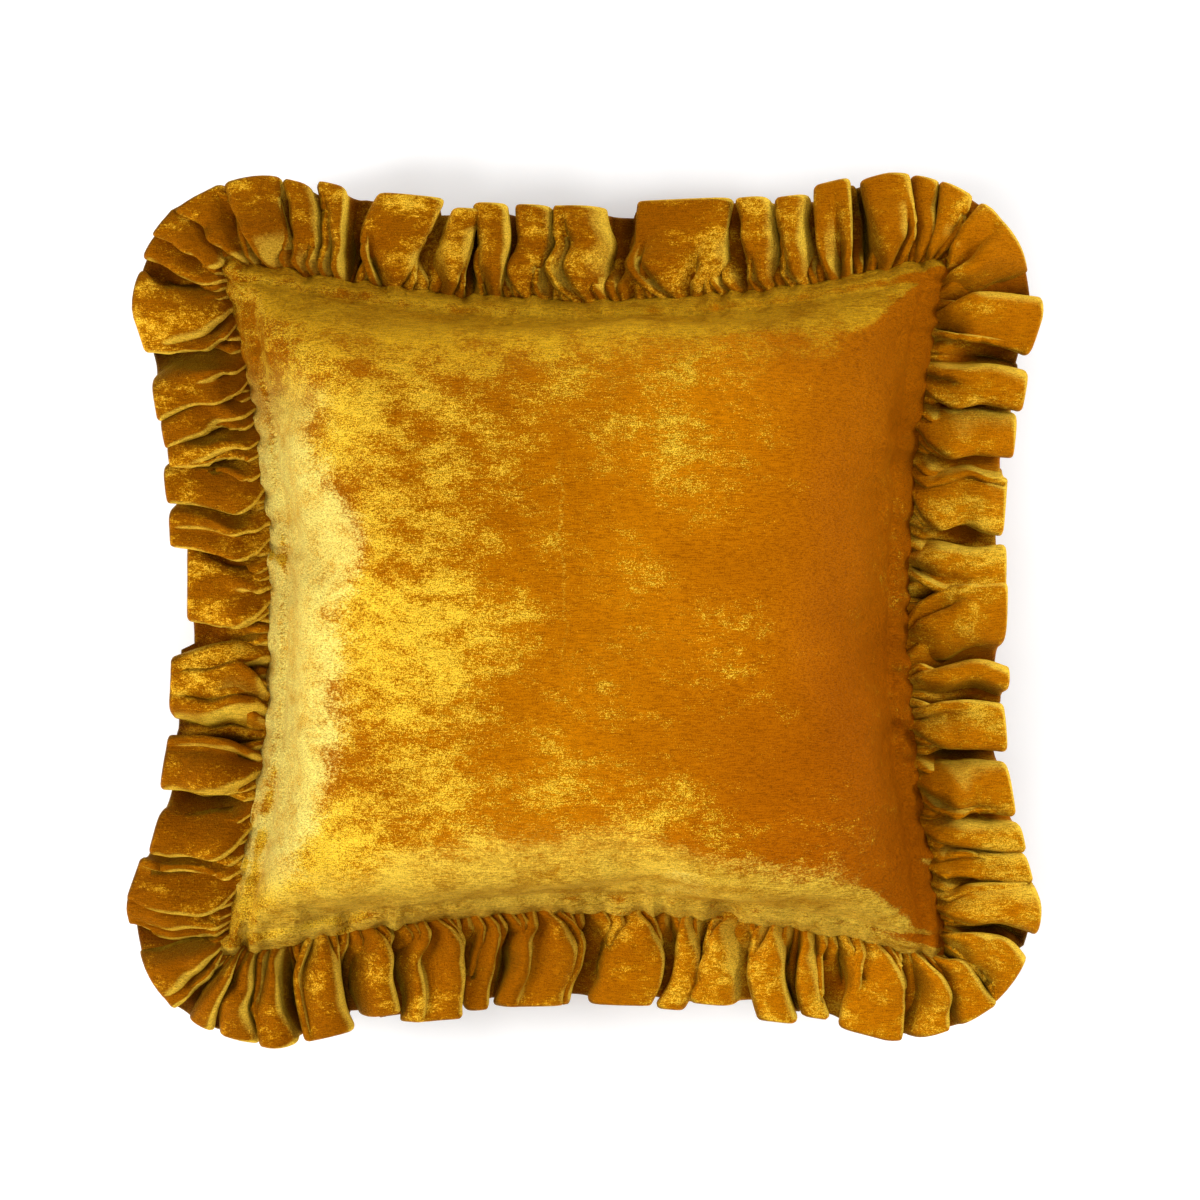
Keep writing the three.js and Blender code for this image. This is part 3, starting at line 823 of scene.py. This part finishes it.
def insert_surface(grid, side, depth):
    """A skin depth inside the loose insert's own surface, which lies just inside the cover."""
    t = crowded(INSERT_CELLS)
    u, v = np.meshgrid(t, t, indexing="ij")
    points = sample(grid, INSERT_SHRINK * u, INSERT_SHRINK * v)
    points = points - side * grid_normals(points) * (INSERT_CLEAR + depth)
    taper = np.sqrt(np.clip((1 - abs(u) ** INSERT_SHARPNESS) * (1 - abs(v) ** INSERT_SHARPNESS), 0, 1))
    rise = softly_above(side * (points[..., 2] - SEAM_Z), INSERT_ROUNDING)
    points[..., 2] = SEAM_Z + side * (rise * taper * INSERT_FLATTENING + INSERT_HALF_SEAM - depth)
    if side < 0:
        floor = INSERT_FLOOR + depth
        points[..., 2] = floor + softly_above(points[..., 2] - floor, FLOOR_ROUNDING)
    return points


def insert_pieces(front, back):
    """The ticking case's two sides and the filling between them."""
    depths = 0.0, TICKING_THICK, TICKING_THICK + FIBRE_CLEAR
    tops = [insert_surface(front, 1, depth) for depth in depths]
    lows = [insert_surface(back, -1, depth) for depth in depths]
    pieces = (
        shell_piece("insert_case_front", tops[0], tops[1]),
        shell_piece("insert_case_back", lows[0][:, ::-1], lows[1][:, ::-1]),
        shell_piece("insert_fibre", tops[2], lows[2]),
    )
    for piece, node in zip(pieces, ("insert_cover_front", "insert_cover_back", "insert_filling")):
        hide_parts(node)
    return pieces


# ---- zipper and label


def node_box(name):
    low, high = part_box(name)
    return Vector(low), Vector(high)


def woven_strip(name, node, bend):
    """A zipper tape: a thin strip in its node's box, with a tail at each end sewn over the slot's end."""
    low, high = node_box(node)
    x = np.linspace(low.x - TAPE_TAIL, high.x + TAPE_TAIL, TAPE_COLUMNS)
    y = np.linspace(low.y, high.y, TAPE_ROWS)
    xx, yy = np.meshgrid(x, y, indexing="ij")
    ripple = TAPE_RIPPLE * np.sin(xx / TAPE_RIPPLE_LENGTH * 2 * math.pi + bend)
    top = np.stack([xx, yy, high.z - TAPE_INSET + ripple], -1)
    bottom = np.stack([xx, yy, low.z + TAPE_INSET + ripple], -1)
    piece = shell_piece(name, top, bottom)
    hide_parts(node)
    return piece


def coil_chain(name, node, start):
    """One side of a coil zipper: a monofilament wound along the tape's edge, in its node's box."""
    low, high = node_box(node)
    middle, half = (low + high) / 2, (high - low) / 2 - Vector((COIL_WIRE, COIL_WIRE, COIL_WIRE))
    turns = round((high.x - low.x) / COIL_PITCH)
    angle = np.arange(turns * COIL_STEPS + 1) / COIL_STEPS * 2 * math.pi
    x = low.x + COIL_WIRE + 2 * half.x * angle / angle[-1]
    y = middle.y + half.y * np.cos(angle + start)
    z = middle.z + half.z * np.sin(angle + start)
    line = np.stack([x, y, z], -1)
    along = unit(np.gradient(line, axis=0))
    aside = unit(np.cross(along, np.array([1.0, 0.0, 0.0])))
    over = np.cross(along, aside)
    around = (np.arange(TUBE_SIDES) / TUBE_SIDES * 2 * math.pi)[None, :, None]
    tube = line[:, None] + COIL_WIRE * (aside[:, None] * np.cos(around) + over[:, None] * np.sin(around))
    numbers = np.arange(len(line) * TUBE_SIDES).reshape(-1, TUBE_SIDES)
    piece = new_mesh(name, tube.reshape(-1, 3), ring_faces(numbers))
    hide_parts(node)
    return piece


def stitch_row(name, side):
    """A row of sewn stitches beside the zipper's slot, lying on the outside of the back panel."""
    low, high = node_box("zipper_tape_upper")
    y = ZIP_Y + side * (SLOT_HALF + STITCH_FROM_SLOT)
    points, faces = [], []
    for k in range(int((high.x - low.x) / STITCH_PITCH)):
        numbers = len(points) + np.arange(STITCH_RINGS * TUBE_SIDES).reshape(-1, TUBE_SIDES)
        faces += ring_faces(numbers)
        for way in np.linspace(0, 1, STITCH_RINGS):
            thin = STITCH_RADIUS * (STITCH_TIP + (1 - STITCH_TIP) * math.sin(math.pi * way))
            x = low.x + k * STITCH_PITCH + STITCH_LENGTH * way
            for turn in np.arange(TUBE_SIDES) / TUBE_SIDES * 2 * math.pi:
                points.append((x, y + thin * math.cos(turn), STITCH_Z + thin * math.sin(turn)))
    return new_mesh(name, points, faces)


def care_tag():
    """The blank satin tag at the left seam: hangs from it, out and down, curling a little."""
    _, high = node_box("care_label")
    side_angle = math.pi + math.atan2(2 * PULL_LEFT * LABEL_V, HALF_Y)
    seam_x, seam_y = plan(np.array(-1.0), np.array(LABEL_V))
    out = np.array([math.cos(side_angle), math.sin(side_angle)])
    along = np.array([-out[1], out[0]])
    aa, bb = np.meshgrid(np.linspace(0, 1, 15), np.linspace(-1, 1, 13), indexing="ij")
    droop = math.radians(LABEL_DROOP) * (0.75 + 0.35 * aa)
    reach = LABEL_LENGTH * aa
    plane = LABEL_FROM_SEAM + reach * np.cos(droop)
    x = seam_x + out[0] * plane + along[0] * bb * LABEL_WIDTH / 2
    y = seam_y + out[1] * plane + along[1] * bb * LABEL_WIDTH / 2
    z = high.z - LABEL_BELOW_NODE_TOP - reach * np.sin(droop) - LABEL_CURL * aa * bb ** 2
    middle = np.stack([x, y, z], -1)
    half = grid_normals(middle) * LABEL_HALF_THICK
    piece = shell_piece("care_tag", middle + half, middle - half)
    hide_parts("care_label")
    return piece


# ---- materials


# The velvet's tones: the ground from the left to the right, then the gold and the glint, a painted highlight.
PANEL_TONES = srgb(184, 108, 2), srgb(212, 130, 4), srgb(186, 100, 2), srgb(206, 142, 7), srgb(252, 208, 58)
# On the ruffle the ground is lighter to the right: painted light, where more light falls.
RUFFLE_TONES = srgb(160, 92, 2), srgb(172, 100, 2), srgb(202, 122, 3), srgb(216, 148, 8), srgb(252, 202, 56)
GROUND_RUNS = (1, -0.35, 0), (-0.12, 0.2)
GROUND_STOPS = 0.05, 0.42, 0.95

# The crushed pile on a flat panel and on the folded ruffle: its lean, how much the flecks and the hairs fray
# its patches, and where the gold and the glints begin and are full. The glints are painted highlights.
NAP_LEAN = (-0.95, 0.3, 0.0)
FLAT_PILE = {
    "lean": 0.30, "fleck": 0.8, "gold": (-0.025, 0.035), "hair": 1.1, "glint": (0.03, 0.16), "sheen": 0.08
}
FOLDED_PILE = {
    "lean": 0.15, "fleck": 0.55, "gold": (-0.01, 0.16), "hair": 0.6, "glint": (0.08, 0.24), "sheen": 0.4
}

# How the pile's lie changes across a panel, partly painted light: more gold on the left, where the key lights
# fall, less at the right edge and the top. Axis, from, to, first and last value.
PANEL_LIES_AND_LIGHT = ("X", -0.18, 0.08, 0.10, -0.13), ("X", 0.09, 0.16, 0.0, -0.14), ("Y", 0.06, 0.18, 0.0, -0.03)

# Painted light on the panel's flanks: each is coloured as the light falls on it, by the way it faces. For
# each: the way it faces, its dull and bright tones, the steepness where it begins and is full, and the spans
# of Y where it shows.
FLANK_PAINTED_LIGHT = (
    ((-0.15, 1, 0), srgb(178, 114, 6), srgb(238, 184, 36), (0.36, 0.66), [(0.09, 0.15)]),
    ((0, -1, 0), srgb(196, 132, 8), srgb(255, 214, 74), (0.28, 0.5), [(-0.11, -0.15)]),
    ((-1, -0.2, 0), srgb(226, 166, 34), srgb(255, 238, 126), (0.42, 0.64), [(0.150, 0.085), (-0.175, -0.14)]),
)
FLANK_RAGGED = 0.7
FLANK_PATCHES = -0.26, 0.14

# A faint line pressed up the middle of the face, coloured with the glint as a painted highlight.
PRESS_LINE_X = -0.015
PRESS_LINE_EDGE = 0.0013, 0.0002
PRESS_LINE_BREAKS = -0.05, 0.2
PRESS_LINE_SHOWN = (-0.05, 0.0), (0.10, 0.06)

# The ruffle's folds, painted by the way each side faces: painted highlight on the rims towards the light,
# painted shade on the sides away from it, and painted shade in the creases.
RIM_PAINTED_HIGHLIGHT, RIM_EDGE, RIM_TONE = srgb(255, 212, 68), (0.28, 0.64), (0.35, 0.6)
SIDE_PAINTED_SHADE, SIDE_EDGE, SIDE_SHARE = srgb(84, 46, 2), (-0.25, -0.85), 0.75
LIT_FROM_X = 0.77
LIT_FROM_Y = -0.20, -0.08, -0.75, 0.64
RIM_RAGGED = 0.35
CREASE_PAINTED_SHADE = (0.0, (0.10, 0.06, 0.02, 1)), (0.30, (0.60, 0.50, 0.36, 1)), (0.58, WHITE)

GRAIN = (0.38, (0.50, 0.42, 0.30, 1)), (0.56, WHITE)
CLOUDS = (0.35, (0.86, 0.82, 0.8, 1)), (0.6, WHITE)
EDGE_ZONE = 0.11, 0.19
VELVET_SHADER = {
    "Metallic": 0.42,
    "Roughness": 0.44,
    "Specular IOR Level": 0.05,
    "Specular Tint": srgb(255, 214, 60),
    "Sheen Roughness": 0.3,
    "Sheen Tint": srgb(250, 200, 40),
}


class Nodes:
    """A short way to write a material's node tree."""

    def __init__(self, name):
        self.material = bpy.data.materials.new(name)
        self.material.use_nodes = True
        self.tree = self.material.node_tree
        self.shader = self.tree.nodes["Principled BSDF"]
        self.place = self.add("TexCoord").outputs["Object"]

    def add(self, kind, settings=None, inputs=None):
        node = self.tree.nodes.new("ShaderNode" + kind)
        for key, value in (settings or {}).items():
            setattr(node, key, value)
        for key, value in (inputs or {}).items():
            self.feed(node.inputs[key], value)
        return node

    def feed(self, socket, value):
        if isinstance(value, bpy.types.NodeSocket):
            self.tree.links.new(value, socket)
        else:
            socket.default_value = value

    def noise(self, scale, detail=2.0, rough=0.5, stretch=(1, 1, 1), distort=0.0):
        place = self.place
        if stretch != (1, 1, 1):
            mapping = self.add("Mapping", inputs={"Vector": place, "Scale": stretch})
            place = mapping.outputs["Vector"]
        inputs = {"Scale": scale, "Detail": detail, "Roughness": rough, "Distortion": distort}
        return self.add("TexNoise", inputs={"Vector": place, **inputs}).outputs["Fac"]

    def ramp(self, value, stops):
        node = self.add("ValToRGB", inputs={"Fac": value})
        elements = node.color_ramp.elements
        while len(elements) < len(stops):
            elements.new(0.5)
        for element, (at, colour) in zip(elements, stops):
            element.position = at
            element.color = colour
        return node.outputs["Color"]

    def math(self, operation, a, b=0.5):
        return self.add("Math", {"operation": operation}, {0: a, 1: b}).outputs["Value"]

    def plus(self, a, b):
        return self.math("ADD", a, b)

    def times(self, a, b):
        return self.math("MULTIPLY", a, b)

    def centred(self, value, weight):
        """A noise of mean one half, moved to swing about zero."""
        inputs = {0: value, 1: weight, 2: -weight / 2}
        return self.add("Math", {"operation": "MULTIPLY_ADD"}, inputs).outputs["Value"]

    def span(self, value, low, high, first, last):
        """value's way from low to high, as a value from first to last."""
        inputs = {"Value": value, "From Min": low, "From Max": high, "To Min": first, "To Max": last}
        return self.add("MapRange", inputs=inputs).outputs["Result"]

    def smooth(self, value, low, high):
        inputs = {"Value": value, "From Min": low, "From Max": high}
        return self.add("MapRange", {"interpolation_type": "SMOOTHSTEP"}, inputs).outputs["Result"]

    def mix(self, factor, a, b, kind="MIX"):
        """Colours a and b mixed; the colour sockets of a Mix node are its seventh and eighth."""
        inputs = {"Factor": factor, 6: a, 7: b}
        return self.add("Mix", {"data_type": "RGBA", "blend_type": kind}, inputs).outputs[2]

    def wave(self, axis, threads):
        inputs = {"Vector": self.place, "Scale": threads, "Distortion": 0.3, "Detail": 1.0}
        settings = {"wave_type": "BANDS", "bands_direction": axis}
        return self.add("TexWave", settings, inputs).outputs["Fac"]

    def vector(self, operation, a, b=(0, 0, 0)):
        return self.add("VectorMath", {"operation": operation}, {0: a, 1: b}).outputs["Vector"]

    def scaled(self, vector, amount):
        inputs = {0: vector, "Scale": amount}
        return self.add("VectorMath", {"operation": "SCALE"}, inputs).outputs["Vector"]

    def dot(self, a, b):
        return self.add("VectorMath", {"operation": "DOT_PRODUCT"}, {0: a, 1: b}).outputs["Value"]

    def parts(self, vector):
        """The X, Y and Z of a vector."""
        return self.add("SeparateXYZ", inputs={0: vector}).outputs

    def bump(self, height, distance, strength=1.0, normal=None):
        inputs = {"Height": height, "Distance": distance, "Strength": strength}
        if normal is not None:
            inputs["Normal"] = normal
        return self.add("Bump", inputs=inputs).outputs["Normal"]

    def finish(self, colour, normal, settings):
        """Feed the shader its colour and normal, set the rest of it, and return the material."""
        self.feed(self.shader.inputs["Base Color"], colour)
        self.feed(self.shader.inputs["Normal"], normal)
        for key, value in settings.items():
            self.feed(self.shader.inputs[key], value)
        return self.material


class Velvet(Nodes):
    """Silk velvet: a ground tone, golden where the pile is crushed over, with glinting flecks that are
    painted highlights.
    """

    def __init__(self, name, style):
        super().__init__(name)
        self.style = style
        self.region = self.noise(10, distort=0.4)
        self.torn = self.centred(self.noise(50, 9, 0.76, stretch=(0.72, 1.25, 1), distort=0.2), 1.2)
        self.fleck = self.noise(800, 3, 0.8, stretch=(0.7, 1.2, 1))
        self.weave = self.noise(900, stretch=(0.18, 1.5, 1))
        self.pile = self.noise(1500, rough=0.75)
        self.facing = self.add("NewGeometry").outputs["Normal"]
        self.at = self.parts(self.place)

    def dye_and_glints(self, tones, lies_and_light=()):
        """The cloth's colour with its glints, which are painted highlights, and how far its pile is crushed
        over.
        """
        ground, middle, far, gold, glint = tones
        way, ends = GROUND_RUNS
        across = self.span(self.dot(self.place, way), *ends, 0, 1)
        ground_tone = self.ramp(across, list(zip(GROUND_STOPS, (ground, middle, far))))
        lie_and_light = self.plus(self.centred(self.region, 0.6), self.torn)
        # The lies add gold on the left, where the light falls: partly painted light.
        for axis, *change in lies_and_light:
            lie_and_light = self.plus(lie_and_light, self.span(self.at[axis], *change))
        ragged = self.plus(lie_and_light, self.centred(self.fleck, self.style["fleck"]))
        crushed = self.smooth(ragged, *self.style["gold"])
        # The glints: painted highlights in the glint colour.
        glints = self.plus(ragged, self.centred(self.pile, self.style["hair"]))
        colour = self.mix(crushed, ground_tone, gold)
        return self.mix(self.smooth(glints, *self.style["glint"]), colour, glint), crushed

    def leaning(self, crushed):
        """The surface's normal, tilted the way that the crushed pile leans."""
        tilt = self.scaled(NAP_LEAN, self.times(crushed, self.style["lean"]))
        return self.vector("NORMALIZE", self.vector("ADD", self.facing, tilt))

    def paint_flank_light(self, colour):
        # Painted light: each flank is coloured as the light falls on it, by the way it faces.
        speckle = self.plus(self.centred(self.fleck, 0.9), self.times(self.torn, 0.9))
        patchy = self.smooth(speckle, *FLANK_PATCHES)
        for towards, dull, bright, steepness, spans in FLANK_PAINTED_LIGHT:
            flank = self.plus(self.dot(self.facing, towards), self.times(speckle, FLANK_RAGGED))
            share = self.smooth(flank, *steepness)
            for low, high in spans:
                share = self.times(share, self.smooth(self.at["Y"], low, high))
            colour = self.mix(share, colour, self.mix(patchy, dull, bright))
        return colour

    def press_line(self, colour, glint):
        # The pressed line is painted in the glint colour: a painted highlight.
        wander = self.plus(self.centred(self.region, 0.025), self.times(self.torn, 0.012))
        away = self.math("ABSOLUTE", self.plus(self.plus(self.at["X"], wander), -PRESS_LINE_X))
        broken = self.smooth(self.centred(self.fleck, 1.0), *PRESS_LINE_BREAKS)
        share = self.times(self.smooth(away, *PRESS_LINE_EDGE), broken)
        for low, high in PRESS_LINE_SHOWN:
            share = self.times(share, self.smooth(self.at["Y"], low, high))
        return self.mix(share, colour, glint)

    def finish_pile(self, colour, normal):
        """Add the grain, the clouding and the fine relief of the pile, and return the material."""
        grain = self.plus(self.times(self.weave, 0.4), self.times(self.pile, 0.6))
        colour = self.mix(1.0, colour, self.ramp(grain, GRAIN), "MULTIPLY")
        colour = self.mix(1.0, colour, self.ramp(self.region, CLOUDS), "MULTIPLY")
        normal = self.bump(self.fleck, 0.0014, 0.8, normal)
        normal = self.bump(self.weave, 0.0005, 0.5, normal)
        normal = self.bump(self.pile, 0.0004, 0.7, normal)
        return self.finish(colour, normal, {**VELVET_SHADER, "Sheen Weight": self.style["sheen"]})


def panel_velvet():
    """The panels' velvet, with its relief stronger near the seam."""
    cloth = Velvet("velvet_panel", FLAT_PILE)
    colour, crushed = cloth.dye_and_glints(PANEL_TONES, PANEL_LIES_AND_LIGHT)
    # Painted light on the flanks; the pressed line is painted with the glint as a highlight.
    colour = cloth.press_line(cloth.paint_flank_light(colour), PANEL_TONES[-1])
    off_middle = cloth.parts(cloth.vector("ABSOLUTE", cloth.place))
    edge = cloth.smooth(cloth.math("MAXIMUM", off_middle["X"], off_middle["Y"]), *EDGE_ZONE)
    normal = cloth.bump(cloth.torn, 0.010, cloth.span(edge, 0, 1, 0.22, 0.8), cloth.leaning(crushed))
    crinkle = cloth.noise(110, 4, 0.6, stretch=(1.3, 0.8, 1))
    normal = cloth.bump(crinkle, 0.004, cloth.span(edge, 0, 1, 0.0, 0.8), normal)
    return cloth.finish_pile(colour, normal)


def ruffle_velvet():
    """The ruffle's velvet, with painted shade in the creases and painted highlight on the rims, from the
    attribute tone, each point's height in its fold, and from the way each side faces.
    """
    cloth = Velvet("velvet_ruffle", FOLDED_PILE)
    colour, crushed = cloth.dye_and_glints(RUFFLE_TONES)
    tone = cloth.add("Attribute", {"attribute_name": "tone"}).outputs["Fac"]
    facing = cloth.parts(cloth.facing)
    # Painted light: rims that face the light are painted as highlight, sides facing away as shade.
    lit = cloth.times(facing["Y"], cloth.span(cloth.at["X"], *LIT_FROM_Y))
    lit = cloth.plus(cloth.times(facing["X"], LIT_FROM_X), lit)
    lit = cloth.plus(lit, cloth.centred(cloth.fleck, RIM_RAGGED))
    rim = cloth.times(cloth.smooth(lit, *RIM_EDGE), cloth.smooth(tone, *RIM_TONE))
    colour = cloth.mix(rim, colour, RIM_PAINTED_HIGHLIGHT)
    away = cloth.times(cloth.smooth(lit, *SIDE_EDGE), SIDE_SHARE)
    colour = cloth.mix(away, colour, SIDE_PAINTED_SHADE)
    # Painted shade darkens the creases, low in the folds.
    colour = cloth.mix(1.0, colour, cloth.ramp(tone, CREASE_PAINTED_SHADE), "MULTIPLY")
    return cloth.finish_pile(colour, cloth.bump(cloth.torn, 0.010, 0.25, cloth.leaning(crushed)))


def woven(name, colour, dark, threads, roughness=0.8, sheen=0.15):
    """Plain-woven cloth: warp and weft threads, slight slubs, and a soft dull surface."""
    nodes = Nodes(name)
    weave = nodes.times(nodes.wave("X", threads), nodes.wave("Y", threads))
    slub = nodes.noise(160, 3, 0.6)
    tone = nodes.plus(nodes.times(weave, 0.6), nodes.times(slub, 0.5))
    shade = nodes.ramp(tone, [(0.1, dark), (0.7, colour)])
    settings = {"Roughness": roughness, "Sheen Weight": sheen}
    return nodes.finish(shade, nodes.bump(weave, 0.0003, 0.8), settings)


def fibre(name, colour):
    """Teased polyester fibre: crossing pale hairs over a soft body."""
    nodes = Nodes(name)
    hair = nodes.noise(700, 6, 0.8, stretch=(0.2, 1, 1), distort=1.5)
    shade = nodes.ramp(hair, [(0.35, (0.7, 0.7, 0.7, 1)), (0.6, colour)])
    return nodes.finish(shade, nodes.bump(hair, 0.001, 0.8), {"Roughness": 0.9})


def worn_metal(name, colour, dark, metallic=1.0, rough=(0.22, 0.45)):
    """Rubbed metal or nylon: darker in blotches, with fine scratches and uneven gloss."""
    nodes = Nodes(name)
    blotch = nodes.noise(260, 4, 0.6)
    scratch = nodes.noise(1500, 3, 0.7, stretch=(0.1, 1, 1))
    shade = nodes.ramp(blotch, [(0.35, dark), (0.62, colour)])
    gloss = nodes.span(scratch, 0, 1, *rough)
    return nodes.finish(shade, nodes.bump(scratch, 0.0001, 0.4), {"Roughness": gloss, "Metallic": metallic})


# ---- assembly


def dress(piece, material):
    piece.data.materials.clear()
    piece.data.materials.append(material)
    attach(piece, "pillow")


def make_cover(front, back):
    velvet = panel_velvet()
    face = front_panel(front)
    dress(face, velvet)
    below = HALF_Y + ZIP_Y
    for name, side, depth in (("upper", 1, 2 * HALF_Y - below), ("lower", -1, below)):
        piece = back_panel(f"cover_back_{name}", f"back_panel_{name}", back, side, seed=BACK_SEED + side)
        dress(piece, velvet)


def make_ruffle():
    velvet = ruffle_velvet()
    for piece in ruffle_pieces():
        dress(piece, velvet)


def make_insert(front, back):
    ticking = woven("insert_ticking", srgb(243, 240, 230), srgb(214, 208, 194), 500)
    case_front, case_back, filling = insert_pieces(front, back)
    for piece, below in ((case_front, "insert_fibre"), (case_back, "cover_back_upper")):
        dress(piece, ticking)
    dress(filling, fibre("fibre_fill", srgb(250, 250, 250)))


def make_zipper():
    tape_cloth = woven("zipper_tape", srgb(160, 110, 30), srgb(104, 66, 12), 700)
    nylon = worn_metal("zipper_coil", srgb(150, 100, 26), srgb(118, 74, 14), metallic=0.0, rough=(0.3, 0.5))
    brass = worn_metal("zipper_metal", srgb(196, 160, 92), srgb(150, 112, 54))
    thread = woven("sewing_thread", srgb(186, 124, 20), srgb(130, 80, 8), 2400, sheen=0.0)
    for end, side in (("upper", 1), ("lower", -1)):
        tape = woven_strip(f"zip_tape_{end}", f"zipper_tape_{end}", side)
        dress(tape, tape_cloth)
        coil = coil_chain(f"zip_coil_{end}", f"zipper_chain_{end}", 0 if side > 0 else math.pi)
        dress(coil, nylon)
        dress(stitch_row(f"zip_stitches_{end}", side), thread)
    for part in ("top_stop_upper", "top_stop_lower", "bottom_stop", "slider", "pull"):
        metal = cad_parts[f"zipper_{part}"].data.materials
        metal.clear()
        metal.append(brass)


def make_tag():
    satin = woven("label_satin", srgb(246, 243, 234), srgb(226, 220, 206), 900, roughness=0.35, sheen=0.3)
    tag = care_tag()
    dress(tag, satin)


def main():
    make_camera()
    make_studio()
    simulated = inflate_cover()
    front = fit_to_seam(ironed(simulated[0]), 1)
    back = fit_to_seam(ironed(simulated[1]), -1)
    make_cover(front, back)
    make_ruffle()
    make_insert(front, back)
    make_zipper()
    make_tag()


main()
